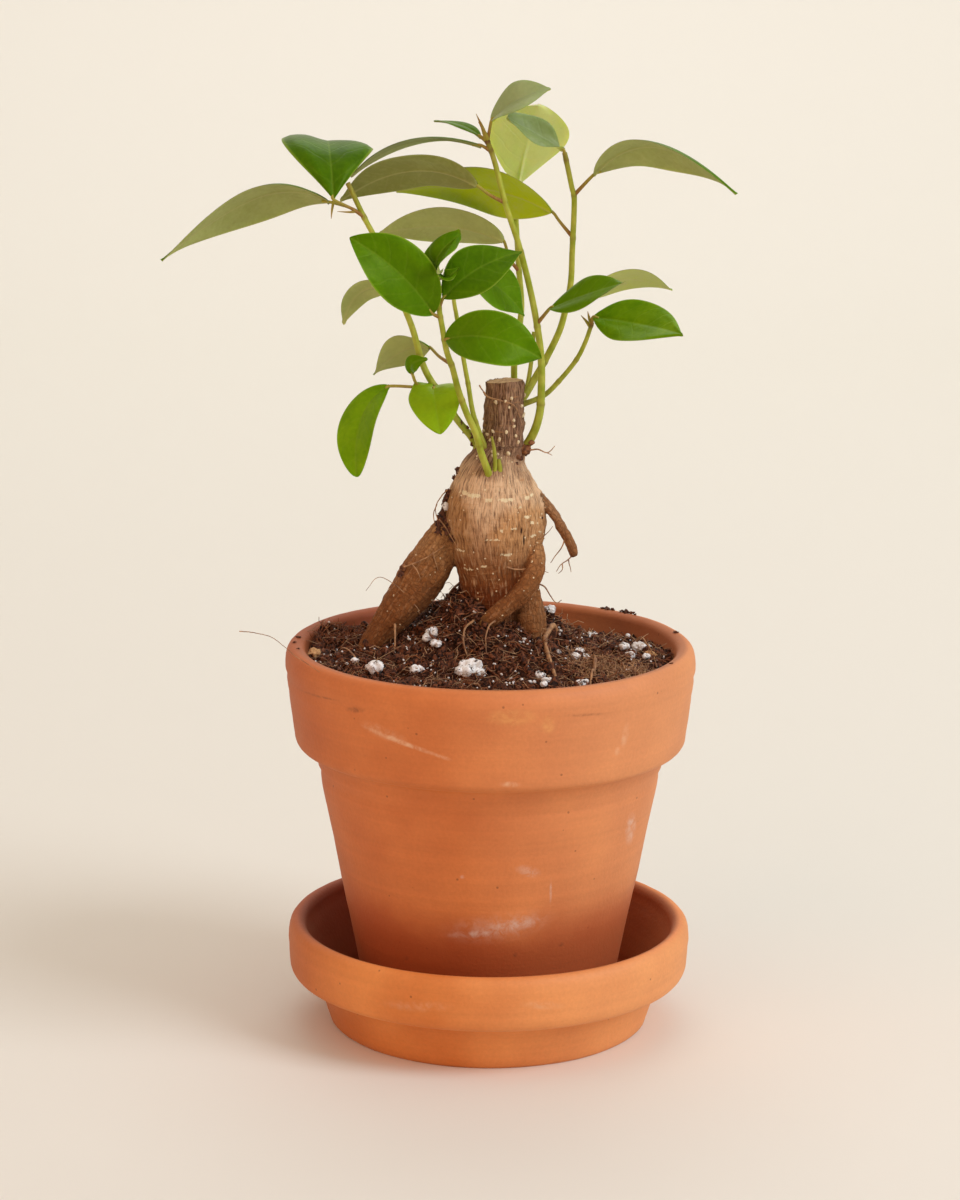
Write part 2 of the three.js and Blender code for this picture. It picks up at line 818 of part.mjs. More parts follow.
function add(name, geometry, material) {
  const mesh = new THREE.Mesh(geometry, material);
  mesh.name = name;
  ficus.add(mesh);
}

const stems = Object.entries(LEAFY_STEMS);
const seats = stems.flatMap(([, stem]) => stemSeats(stem));
const trunk = cut(join(trunkLimbs(0)), seats);
const bed = join([soilGeometry(), ...PERLITE.map(perliteGrain)]);
const soil = cut(bed, trunkLimbs(SOIL_HOLE_GAP));

add("saucer", saucerGeometry(), matt(0xd98d57, 0.9));
add("pot", potGeometry(), matt(0xc4693a, 0.9));
add("soil", geometryOf(soil), matt(0x3a2418, 1));
add("trunk", geometryOf(trunk), matt(0x94703f, 0.85));
for (const [name, stem] of stems) add(name, geometryOf(leafyStem(stem)), matt(0x5a8c1e, 0.45));

export default ficus;
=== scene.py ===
import math

import bmesh
import bpy
import numpy as np
from mathutils import Matrix, Vector, noise


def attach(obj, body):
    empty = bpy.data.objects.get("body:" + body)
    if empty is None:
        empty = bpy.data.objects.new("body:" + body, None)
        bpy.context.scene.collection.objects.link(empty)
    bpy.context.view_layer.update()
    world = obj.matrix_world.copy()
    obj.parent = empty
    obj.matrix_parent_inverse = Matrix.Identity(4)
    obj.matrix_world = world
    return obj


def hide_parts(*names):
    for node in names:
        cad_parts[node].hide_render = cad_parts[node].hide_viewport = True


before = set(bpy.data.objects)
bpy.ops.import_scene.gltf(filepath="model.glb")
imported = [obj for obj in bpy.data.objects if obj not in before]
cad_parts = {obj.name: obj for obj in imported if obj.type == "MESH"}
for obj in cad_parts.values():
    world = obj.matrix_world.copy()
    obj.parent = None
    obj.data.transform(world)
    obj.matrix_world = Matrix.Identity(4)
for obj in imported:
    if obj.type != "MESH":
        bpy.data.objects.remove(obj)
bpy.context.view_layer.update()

MM = 0.001  # a millimetre, in metres
SAME_POINT = 1e-7  # points closer than this, in metres, are one


# ---------------------------------------------------------------- helpers for meshes

class Draft:
    """Points, faces, finishes and named values of one piece while it is made, in millimetres."""

    def __init__(self, *value_names):
        self.points, self.faces, self.finishes = [], [], []
        self.values = {name: [] for name in value_names}
        self.size = 0

    def _keep(self, points, values):
        """Keeps points with their values, and returns the first one's number."""
        self.points.append(points.reshape(-1, 3))
        for name, stored in self.values.items():
            given = np.broadcast_to(values.get(name, 0.0), points.shape[:-1])
            stored.append(np.asarray(given, float).reshape(-1))
        start, self.size = self.size, self.size + len(self.points[-1])
        return start

    def grid(self, points, wrap=False, caps=False, flip=False, finish=0, **values):
        """A sheet or tube of points[row, column]. wrap joins the last column to the first, caps
        closes both ends to their centres, flip turns the faces over."""
        rows, columns = points.shape[:2]
        start = self._keep(points, values)
        index = start + np.arange(rows * columns).reshape(rows, columns)
        after = np.roll(index, -1, axis=1) if wrap else index[:, 1:]
        index = index if wrap else index[:, :-1]
        corners = [index[:-1], after[:-1], after[1:], index[1:]]
        quads = np.stack(corners[::-1] if flip else corners, -1).reshape(-1, 4)
        self.faces += quads.tolist()
        self.finishes += [finish] * len(quads)
        for row in (0, rows - 1) if caps else ():
            ends = {name: np.mean(np.broadcast_to(v, (rows, columns))[row]) for name, v in values.items()}
            centre = self._keep(points[row].mean(0)[None], ends)
            ring = [[a, b, centre] for a, b in zip(index[row], after[row])]
            turned_over = (row == 0) != flip
            self.faces += [[b, a, c] if turned_over else [a, b, c] for a, b, c in ring]
            self.finishes += [finish] * len(ring)

    def build(self, name, *materials):
        """The piece as a smooth mesh object, its named values stored on its points."""
        mesh = bpy.data.meshes.new(name)
        mesh.from_pydata((np.concatenate(self.points) * MM).tolist(), [], self.faces)
        for value_name, stored in self.values.items():
            store(mesh, value_name, "FLOAT", "value", np.concatenate(stored))
        for material in materials:
            mesh.materials.append(material)
        mesh.polygons.foreach_set("material_index", self.finishes)
        mesh.polygons.foreach_set("use_smooth", [True] * len(mesh.polygons))
        mesh.update()
        return place(name, mesh)


def store(mesh, name, kind, field, values):
    """Stores a value of each point on the mesh, for its material to read."""
    layer = mesh.attributes.new(name, kind, "POINT")
    layer.data.foreach_set(field, values.astype(np.float32).ravel())


def place(name, data):
    """Puts a mesh or a curve in the scene as an object at the origin."""
    obj = bpy.data.objects.new(name, data)
    bpy.context.scene.collection.objects.link(obj)
    return obj


def poured(draft, mesh):
    """Fills the mesh from an edited draft, which ends here."""
    draft.to_mesh(mesh)
    draft.free()
    return mesh


def close_up(obj):
    """Joins doubled points and turns every face outwards."""
    draft = bmesh.new()
    draft.from_mesh(obj.data)
    bmesh.ops.remove_doubles(draft, verts=draft.verts, dist=SAME_POINT)
    bmesh.ops.recalc_face_normals(draft, faces=draft.faces)
    poured(draft, obj.data)
    return obj


def plain(obj, name):
    """The evaluated object as a plain mesh object of its own; the maker object is removed."""
    bpy.context.view_layer.update()
    evaluated = obj.evaluated_get(bpy.context.evaluated_depsgraph_get())
    mesh = bpy.data.meshes.new_from_object(evaluated)
    bpy.data.objects.remove(obj)
    mesh.name = name
    return place(name, mesh)


def fit(obj, slot_name, *nodes):
    """Rides the piece on the one body and hides the CAD parts that it stands in for; slot_name is not used.
    """
    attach(obj, "root")
    if nodes:
        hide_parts(*nodes)


def unit(v):
    """The vectors at length 1."""
    return v / np.linalg.norm(v, axis=-1, keepdims=True)


def way_along(points):
    """The way from the first point to each of the points."""
    return np.concatenate([[0], np.cumsum(np.linalg.norm(np.diff(points, axis=0), axis=1))])


def smooth_curve(stations, per_span):
    """Points and slopes on the curve that runs evenly through the stations, all columns alike."""
    p = np.array(stations, float)
    p = np.vstack([2 * p[0] - p[1], p, 2 * p[-1] - p[-2]])
    t = np.linspace(0, 1, per_span, endpoint=False)[:, None]
    points, slopes = [], []
    for a, b, c, d in zip(p, p[1:], p[2:], p[3:]):
        out, home = (c - a) / 2, (d - b) / 2
        square, cube = 3 * (c - b) - 2 * out - home, 2 * (b - c) + out + home
        points.append(b + out * t + square * t**2 + cube * t**3)
        slopes.append(out + 2 * square * t + 3 * cube * t**2)
    points.append(p[-2:-1])
    slopes.append((p[-1:] - p[-3:-2]) / 2)
    return np.concatenate(points), np.concatenate(slopes)


def frames(slopes):
    """Heading, side and over of rings along a curve, without twist."""
    headings = slopes / np.linalg.norm(slopes, axis=1)[:, None]
    side, sides = np.array([1, 0.13, 0]), []
    for heading in headings:
        side = side - heading * (side @ heading)
        side = side / np.linalg.norm(side)
        sides.append(side)
    return headings, np.array(sides), np.cross(headings, sides)


def around(sides):
    """Angles of the points of a ring."""
    return np.arange(sides) * 2 * np.pi / sides


def tube(stations, sides, per_span, swell=None):
    """Points[ring, side] of a round limb through stations [x, y, z, radius], and the way in mm
    along it. swell(along, angle) gives a share by which the radius grows."""
    curve, slopes = smooth_curve(stations, per_span)
    _, side, over = frames(slopes[:, :3])
    along, angle = way_along(curve[:, :3])[:, None], around(sides)[None]
    reach = curve[:, 3:4] * (1 + (swell(along, angle) if swell else 0 * angle))
    ring = np.cos(angle)[..., None] * side[:, None] + np.sin(angle)[..., None] * over[:, None]
    return curve[:, None, :3] + reach[..., None] * ring, along + 0 * angle


def with_radii(route, radii):
    """Stations [x, y, z, radius] of a limb."""
    return [(*p, r) for p, r in zip(route, radii)]


# ---------------------------------------------------------------- helpers for node trees

def linear(colour):
    """sRGB hex to the linear colour that a socket takes."""
    parts = [int(colour[i:i + 2], 16) / 255 for i in (0, 2, 4)]
    return (*[c / 12.92 if c <= 0.04045 else ((c + 0.055) / 1.055) ** 2.4 for c in parts], 1.0)


def add(tree, kind, inputs=None, **settings):
    """Adds a node with its settings. inputs gives a socket a value, another node's output, or a
    node, which stands for its first output in use; a list gives it several."""
    made = tree.nodes.new(kind)
    for key, value in settings.items():
        setattr(made, key, value)
    for key, value in (inputs or {}).items():
        for one in value if isinstance(value, list) else [value]:
            if isinstance(one, bpy.types.Node):
                one = next(output for output in one.outputs if output.enabled)
            if isinstance(one, bpy.types.NodeSocket):
                tree.links.new(one, made.inputs[key])
            else:
                made.inputs[key].default_value = one
    return made


# ---------------------------------------------------------------- sizes and routes, in mm

# Outlines as radius and height: lines to a point, and arcs as the corner they round and their end
POT_TOP = 104.3
POT_OUTLINE = [
    (6.5, 6.3), (32.6, 6.3), (33.4, 7.1), (46.4, 73.4), ((46.9, 76.3), (49, 76.8)),
    ((52.3, 77.1), (52.4, 80.2)), (54.8, 98.4), ((55, POT_TOP), (52, POT_TOP)),
    ((49.4, POT_TOP), (49.4, 101.9)), (41.8, 73.8), (28, 13.3), (6.5, 13.3), (6.5, 6.3),
]
SAUCER_OUTLINE = [
    (0.4, 0), (42.2, 0), (43, 0.8), (46.4, 11.2), ((46.9, 13), (50.6, 13.2)), ((53.8, 13.6), (53.9, 17)),
    (54.3, 23.2), ((54.3, 28.2), (51.9, 28.2)), ((49.5, 28.2), (49.4, 25.2)), (43.6, 9),
    ((43.6, 6), (40.1, 6)), (0.4, 6),
]
LINE_STEP, ARC_STEPS, CLAY_SIDES = 1.6, 7, 192  # how finely outlines are drawn and turned
# Turned grooves: height, depth, half-width
POT_GROOVES = [(96.6, 0.35, 0.9), (92, 0.12, 0.7), (70.2, 0.4, 0.9), (69, 0.2, 2.0), (30, 0.12, 0.6)]
SAUCER_GROOVES = [(21.5, 0.1, 0.8), (6.5, 0.18, 0.7)]

SOIL_LEVEL, SOIL_RADIUS = 100.2, 48.4
SOIL_RINGS, SOIL_SIDES = 100, 280

LIMB_GAP = 100  # keeps the grain of the limbs apart: limb k counts its length from 100 k on
# The limbs of the trunk: x, y, z, radius
LIMBS = {
    "bulb": [
        (2.2, 0, 96, 9.4), (2.2, 0, 106, 9.8), (2.4, 0, 113, 10), (2.3, 0, 118.5, 10.4),
        (2, 0, 122.7, 10.8), (1.5, 0, 126.8, 11.4), (1, 0, 131.7, 12.4), (0.7, 0, 137, 13.2),
        (0.6, 0, 142.5, 12.9), (0.7, 0, 147, 11.4), (1.1, 0, 151, 9.5), (1.8, 0, 154.3, 7.4),
        (2.6, 0, 157.2, 5.9), (3, 0, 163, 5.4), (3, 0, 170, 5.2), (3.1, 0, 175, 5.2),
    ],
    "left_leg": [
        (-7, 0, 139, 4.4), (-12.5, -1, 132, 5.4), (-17, -2, 125, 6), (-21, -3, 119, 5.8),
        (-26, -4, 112, 4.6), (-31, -4.5, 105.5, 3.2), (-34, -5, 100, 2.4),
    ],
    "crossing": [
        (9.5, -3, 136, 2), (11.8, -7.5, 128.5, 2.5), (9.3, -11, 122.5, 2.6), (5, -12.6, 118, 2.5),
        (1, -13.4, 114.5, 2.3), (-3.5, -12.8, 110, 1.9), (-6, -11, 106, 1.5),
    ],
    "right_foot": [
        (8, -4, 122, 3.6), (10, -7, 115, 4), (10.6, -8, 109.5, 4), (11, -8.5, 102, 3.4),
    ],
    "back_leg": [
        (1, 6, 131, 4.2), (1, 12, 122, 4.6), (0, 18, 113, 3.8), (-2, 24, 104, 2.8), (-3, 26, 98, 2.2),
    ],
    "hanging": [
        (9, -2, 147.5, 1.5), (13.3, -2, 143.5, 1.4), (16.5, -3, 139.5, 1.3), (19.3, -4, 135, 1.4),
        (21.3, -5, 131, 1.3), (22, -5, 129, 1.1),
    ],
}
SAWN_FROM = 173.6  # above this height the faces that look up are the saw cut

PLAIN_LEAF = dict(widest=0.48, point=0.4, fold=10, wave=0.5, droop=0.05, lobes=0, young=False, bloom=False)
UNDERSIDE = (0, 0.7, 0.72)  # a blade that shows its underside to the front


def leaf(base, mid, tip, facing, stalk, width, tone, **form):
    """A leaf: three points of its midrib, the way its upper side faces, its stalk from the stem on,
    its width, and how light its green is, which is set leaf by leaf partly as painted light and shade.
    form says where it differs from a plain leaf: where it is widest, how pointed it is, its fold in
    degrees, wave and droop in mm or shares, heart-shaped lobes at its foot, and whether it is painted
    pale as if backlit or has a painted grey sheen."""
    return dict(PLAIN_LEAF, base=base, mid=mid, tip=tip, facing=facing, stalk=stalk, width=width, tone=tone,
                **form)


# The stems: the radii at foot and end, their route, leaves, and shoots and buds as x, y, z, radius
LEAFY_STEMS = {
    "stem_left_tall": dict(
        radii=(1, 0.65), foot_age=0.7,
        route=[
            (-2.5, -1, 152.5), (-4.9, -1, 158.9), (-9.5, -2, 165), (-15.5, -3, 174), (-18.5, -4, 180),
            (-21, -5, 189), (-24, -4, 196.5), (-27, -3, 205), (-31, -2, 212.5), (-34, -1.5, 218),
            (-38, -2, 226.5),
        ],
        leaves=[
            leaf((-41.5, -5, 222.5), (-43.5, 10, 235.5), (-45, 30, 229), (0.13, -0.8, 0.6),
                 [(-33.5, -1.5, 217.5), (-37, -3, 220)], 25, 0.2, widest=0.58, point=-0.34, wave=0,
                 droop=0.24),
            leaf((-42.5, -2, 221.5), (-61, 2, 222.4), (-86, -6, 206.5), (0, 0.55, 0.83),
                 [(-34, -1.5, 218), (-37.5, -1, 220)], 17.5, 0.25, fold=-12),
            leaf((-27, -8, 174.5), (-34, -14, 167), (-35, -19, 152.5), (-0.5, -0.75, 0.3),
                 [(-15, -3, 173), (-20.5, -6, 174)], 12.2, 0.6, fold=14, widest=0.56, point=-0.1),
            leaf((-15.5, -7, 174), (-15, -13, 171), (-13.5, -17, 163.5), (0, -0.9, 0.4),
                 [(-15.2, -3, 173.4)], 13.5, 0.8, widest=0.47, point=-0.02, lobes=1.5),
            leaf((-21, -7, 177.5), (-21, -9, 180.5), (-17, -10, 182), (-0.4, -0.8, 0.2),
                 [(-15.4, -3, 174), (-19.5, -6, 174.5)], 4.5, 0.4, wave=0.2),
            leaf((-26.5, 0, 199), (-35, 4, 197.4), (-39.5, 6, 188.5), UNDERSIDE, [(-24.3, -4, 197.5)], 8,
                 0.4, fold=-8),
        ],
        buds=[
            [(-41.6, -3.5, 222, 0.4), (-42, -3.6, 219.6, 0.28), (-42.2, -4, 217.4, 0.06)],
            [(-35.4, -2, 219.2, 0.4), (-37.4, -3.2, 219.1, 0.28), (-40.6, -4, 219.3, 0.06)],
        ],
    ),
    "stem_front": dict(
        radii=(0.98, 0.62),
        route=[
            (-0.4, -6.5, 148.5), (-1.2, -9, 152.3), (-3, -10.5, 157.5), (-4.5, -12, 163), (-7, -14, 169),
            (-9, -16, 175), (-10.5, -18, 181), (-12, -19.5, 185.5), (-13, -21, 191), (-14, -22, 197),
            (-14.3, -22.5, 202), (-14.5, -22.5, 207),
        ],
        leaves=[
            leaf((-15.5, -22.5, 195.5), (-24.5, -28, 207), (-36.5, -29, 215.5), (-0.2, -0.85, 0.5),
                 [(-13.6, -21.6, 194.5)], 17, 0.32, point=0.1, fold=20, wave=0.9),
            leaf((-13, -22.5, 199.5), (-4, -21, 207), (7, -15, 210.5), (0.1, -0.75, 0.66),
                 [(-14, -22, 197)], 13.5, 0.24),
            leaf((-14.5, -22.5, 206), (-14, -26, 211), (-8.5, -24, 216), (-0.5, -0.8, 0.3),
                 [(-14.5, -22.5, 205)], 9.2, 0.3, fold=30, wave=1.9),
            leaf((-14.3, -22.8, 205.6), (-12.2, -25.6, 205.2), (-8.9, -25.4, 207.8), (0.4, -0.6, 0.7),
                 [(-14.5, -22.5, 204.6)], 4.4, 0.3, fold=42, wave=0.9),
            leaf((-15, -22.4, 206.2), (-17.6, -22.6, 209.4), (-20.6, -23.4, 209.4), (-0.2, 0.3, 0.9),
                 [(-14.5, -22.5, 205.4)], 3.4, 0.1, fold=34, wave=0.3),
            leaf((-12, -21.5, 189), (0, -27, 190), (12, -24, 184.5), (0, -0.9, 0.42),
                 [(-12.6, -20.4, 188.5)], 15, 0.34, point=0.1, lobes=0.25),
            leaf((-16.5, 0, 183.5), (-23.5, 3, 182.5), (-31.5, 4, 175.5), UNDERSIDE,
                 [(-10.9, -18.2, 182), (-14, -9, 182.5)], 12, 0.45, fold=0),
        ],
        shoots=[
            [(0, -7, 149, 0.75), (0.7, -8.2, 153, 0.6), (0.4, -8.6, 158, 0.5), (-0.3, -8.9, 161.6, 0.3)],
            [(0.6, -7, 149, 0.75), (1.9, -8, 152, 0.7), (1.6, -8.2, 155.5, 0.5)],
        ],
        buds=[
            [(-13.8, -21.5, 196.4, 0.5), (-16.8, -22, 197.2, 0.1)],
        ],
    ),
    "stem_behind_front": dict(
        radii=(0.75, 0.5),
        route=[
            (-0.8, -3.2, 155.5), (-2, -3.4, 158), (-3.4, -3.4, 161.3), (-5.3, -4, 167.3), (-6.5, -5, 174.5),
            (-7.7, -5, 180.9), (-9.5, -5, 191.7), (-10.4, -5, 197), (-10.6, -5, 203),
        ],
        leaves=[
            leaf((-8.5, -4, 205), (1, 0, 199.5), (8, 3, 191.5), (0.3, -0.75, 0.6), [(-10.6, -5, 202.5)], 13,
                 0.45),
        ],
    ),
    "stem_centre_tall": dict(
        radii=(1.25, 0.62), foot_age=1.0,
        route=[
            (5.5, 0, 153.5), (8.2, -1, 157), (10, -1.5, 159.8), (11.5, -2, 163.5), (12.4, -2.4, 168),
            (12.6, -3, 174), (12.5, -3.5, 180), (11.8, -4, 187), (9.7, -5, 198.3), (6.3, -6, 211.3),
            (2.9, -5, 221.2), (-0.2, -3.5, 232.6), (-2.2, -3, 238),
        ],
        leaves=[
            leaf((-3.6, -3, 236.5), (-22, 11, 236), (-38, 18, 226), (0, 0.2, 0.98), [(-1, -3.3, 235)], 8.5,
                 0.3, fold=0, wave=0.2),
            leaf((-4.6, -6, 226.5), (-21.5, 1, 229.6), (-40.5, 11, 220.5), UNDERSIDE,
                 [(2.6, -4.8, 222), (-1.2, -5.5, 224)], 15.5, 0.02, fold=0),
            # Its upper side has a painted grey sheen
            leaf((-1, -3.5, 243), (5.5, -8, 248.5), (14, -9, 251.5), (0.24, -0.64, 0.72),
                 [(-2, -3, 237.5), (-1.6, -3.2, 240)], 10.5, 0.88, fold=24, bloom=True),
            leaf((-3.8, -2, 238.7), (-9, 4, 241), (-16, 10, 241.5), (0, -0.2, 0.98), [(-2, -3, 237.3)], 4.2,
                 0.3, wave=0.2),
            leaf((14.5, -7, 195), (23.5, -13, 199.5), (33.5, -20, 203.5), (0, -0.6, 0.8),
                 [(11.2, -4.3, 190.5)], 12, 0.45),
        ],
        buds=[
            [(-2.1, -3, 237.4, 0.7), (-3.3, -3, 241, 0.45), (-5, -3, 244.6, 0.06)],
            [(-1.8, -3.4, 238, 0.6), (-3, -3.6, 240.4, 0.4), (-4.4, -3.8, 242.6, 0.06)],
        ],
    ),
    "stem_back": dict(
        radii=(0.95, 0.65),
        route=[
            (4.5, 5, 153), (5, 8, 160), (5.6, 9, 170), (5.6, 10, 178), (6.6, 12, 185), (7.4, 14, 193),
            (6.6, 16, 202.5), (6, 18, 211), (5.7, 18.5, 217), (6, 17.5, 223),
        ],
        leaves=[
            leaf((2.5, 14, 210), (-13, 16, 213.5), (-30.5, 18, 211), UNDERSIDE,
                 [(6.8, 15.7, 201.5), (4.2, 14.8, 205)], 16, 0.4, fold=6),
            # Painted pale as if backlit, with some real light through it
            leaf((6, 16.5, 224), (8.3, 10, 236), (11, 4, 246.5), (-0.15, 0.9, 0.4), [(6, 17.8, 221.5)], 21,
                 1, fold=4, widest=0.6, point=-0.1, young=True),
        ],
    ),
    "stem_right_tall": dict(
        radii=(1, 0.65),
        route=[
            (6, 2.2, 167.5), (8.6, 3.4, 170.8), (11.6, 4.8, 175.9), (14, 4.6, 180.4), (17.3, 4, 187.6),
            (19, 3, 194.3), (20.1, 2, 201), (20.3, 1, 208.7), (20.6, 0, 221.9), (19.8, -1, 226.1),
            (17.9, -2, 234.7),
        ],
        leaves=[
            # Its light tone paints the bright yellow-green of light coming through this underside
            leaf((15, 2, 219), (-4, 9, 224.5), (-26, 20, 222), UNDERSIDE,
                 [(20.4, 0.8, 212.5), (17, 1.5, 216.5)], 20, 0.95, fold=-4),
            leaf((25.5, -1, 229), (41, -9, 237), (61, -22, 226.5), (0, 0.55, 0.83), [(20.4, -0.4, 223.5)],
                 15.8, 0.28, fold=-14),
            # Its upper side has a painted grey sheen
            leaf((17.6, -2.5, 235.5), (11.5, -3.5, 239), (2.8, -4.5, 243.8), (-0.2, -0.56, 0.8),
                 [(18.3, -1.8, 233)], 9.5, 0.62, widest=0.66, point=-0.4, fold=26, wave=1, bloom=True),
            leaf((21.8, 6, 194.5), (32.5, 15, 200), (48, 27, 195.5), (0, 0.6, 0.8), [(18.9, 3.2, 193.5)],
                 16, 0.62, fold=-6),
        ],
        shoots=[
            [(8.6, 3.4, 170.8, 0.65), (9.6, 5, 176, 0.6), (10.3, 5.5, 182, 0.55), (10.6, 6, 187, 0.5)],
        ],
    ),
    "stem_right_short": dict(
        radii=(0.75, 0.55), foot_age=0.8,
        route=[
            (5.8, -0.3, 168), (8.9, 0.3, 169), (13.4, 1.6, 170.8), (17.4, 1, 174.9), (21.6, -0.5, 180.5),
            (23.9, -2, 185.4), (25.6, -3.5, 190.8),
        ],
        leaves=[
            leaf((25.8, -4.5, 192.5), (37.5, -13, 192), (48, -25, 191), (0, -0.8, 0.6), [(25.4, -3.3, 190)],
                 14, 0.54),
        ],
        buds=[
            [(25.2, -3.2, 189.6, 0.5), (24.2, -2.6, 191, 0.4), (22.7, -2, 192.6, 0.06)],
            [(25.4, -3.4, 190.4, 0.5), (24.8, -3, 192.2, 0.35), (24.4, -3, 193.8, 0.06)],
        ],
    ),
}

# Rises of the soil over its plain level: height, x, y and spread
SOIL_RISES = [
    (13.5, -1, 0, 15), (5.5, -6, -6, 6), (4, -16, 10, 8), (3.5, 17, 8, 7), (4.4, -44, 13, 6.5),
    (3, -3, 5, 6), (2.5, -31, -4, 9), (2.4, -8, -36, 18), (-3, 20, 40, 16), (2.2, 4, -20, 6),
    (1.8, -22, -20, 6),
]

# Perlite grains that lie on top, the larger ones burst into several lobes: x, y, radius
PERLITE = [
    (-15.3, -11.7, 2), (-16.5, -14.2, 1.5), (-14.1, -18.4, 1.5), (-19.2, -29.7, 1.7), (-30.3, -27.6, 2.3),
    (-7.2, -33.9, 2.4), (-5.4, -31.3, 2.4), (-3.1, -32.2, 2), (-35.4, -16, 1), (-40.2, -13.2, 0.7),
    (-37.8, -15.7, 0.6), (14, 5, 1.3), (15.4, 4, 1.5), (21.6, 20, 1.2), (23.6, 21, 1.3), (22.7, 17.5, 1.2),
    (8.7, -15.7, 0.7), (18.5, -3.1, 0.6), (17.6, -14.6, 0.9), (23.3, -8.7, 1.2), (22.3, -12.9, 1.3),
    (25, -10.1, 1.2), (35.6, 1.6, 1.4), (36.9, -0.2, 1.4), (39.2, 5.5, 1.9), (40.3, 4.6, 1.2),
    (41.5, -2, 1.1), (12.9, -30.9, 1.3), (14.3, -35.1, 1.3), (13.5, -39.1, 1), (15.2, -32.2, 1),
    (23.1, -32.9, 1.3), (24.5, -32.2, 0.9), (37.6, 25, 0.8), (-20.4, 5, 0.6), (-14.2, 7, 0.6),
    (-4.3, -12, 0.7), (-21.7, -10.1, 0.5), (5.3, -34.4, 0.6), (7.9, -34.9, 0.6), (10, -35.7, 0.6),
    (11.1, -36.9, 0.6), (-22, 26, 2.2), (3, 33, 2.4), (28, 32, 1.7), (-34, 22, 1.2), (12, 41, 1.3),
    (-8, 40, 1.1),
]

# Potting mix that clings to the bark and to the feet of the stems: near x, y, z, and radius
CLINGING_MIX = [
    (-11.6, -3, 145.6, 0.7), (-12.4, -3, 143.9, 0.8), (-13, -2.6, 142.9, 0.9), (-13.6, -3, 140.4, 0.9),
    (-13.4, -3.4, 139, 1.1), (-12.6, -4, 137.6, 1.2), (-13.8, -3.2, 136.6, 0.9), (-11.8, -5.2, 135.6, 0.9),
    (-13.2, -4.4, 134.6, 0.8), (-10.6, -6.6, 133.6, 0.6), (-9.6, -1, 151.6, 0.55), (-9, -2, 150.8, 0.4),
    (-10.4, -1, 149.2, 0.45), (-3.6, -1.8, 157.6, 0.4), (-5.4, -2, 160.4, 0.45), (-6.6, -2, 162.4, 0.35),
    (-8.2, -2.4, 164.2, 0.35), (-5.4, -1.4, 158.2, 0.4), (-7.4, -1.2, 161.6, 0.35),
    (-4.2, -2.4, 155.6, 0.5), (-2.6, -3.4, 156.4, 0.45), (8.6, -1.6, 157, 0.4), (9.4, -2.4, 155.4, 0.5),
    (7.4, -3.6, 154.8, 0.5), (6, -5, 153.8, 0.4), (-11, -4, 136, 0.8), (-12.8, -2, 138.4, 1.0),
    (8.9, -3, 139, 0.3), (2, -6, 158, 0.3), (-24.4, -6.6, 124.8, 0.7), (-12, -3, 144.8, 0.6),
    (-13.4, -3, 141.6, 0.8), (9.6, -6, 121, 0.5),
]

# Crumbs left lying on the pot's rim: x, y, radius
RIM_CRUMBS = [
    (31.4, 41.6, 0.4), (32.6, 40.9, 0.6), (33.9, 39.9, 0.45), (36.4, 37.9, 0.5), (37.6, 36.8, 0.75),
    (38.9, 35.7, 0.5), (39.9, 34.3, 0.35), (-51.6, 4, 0.4), (-52.2, -2, 0.35), (-50.8, -9, 0.3),
    (47, -22, 0.3), (-30, 42, 0.5), (50, 13, 0.4),
]

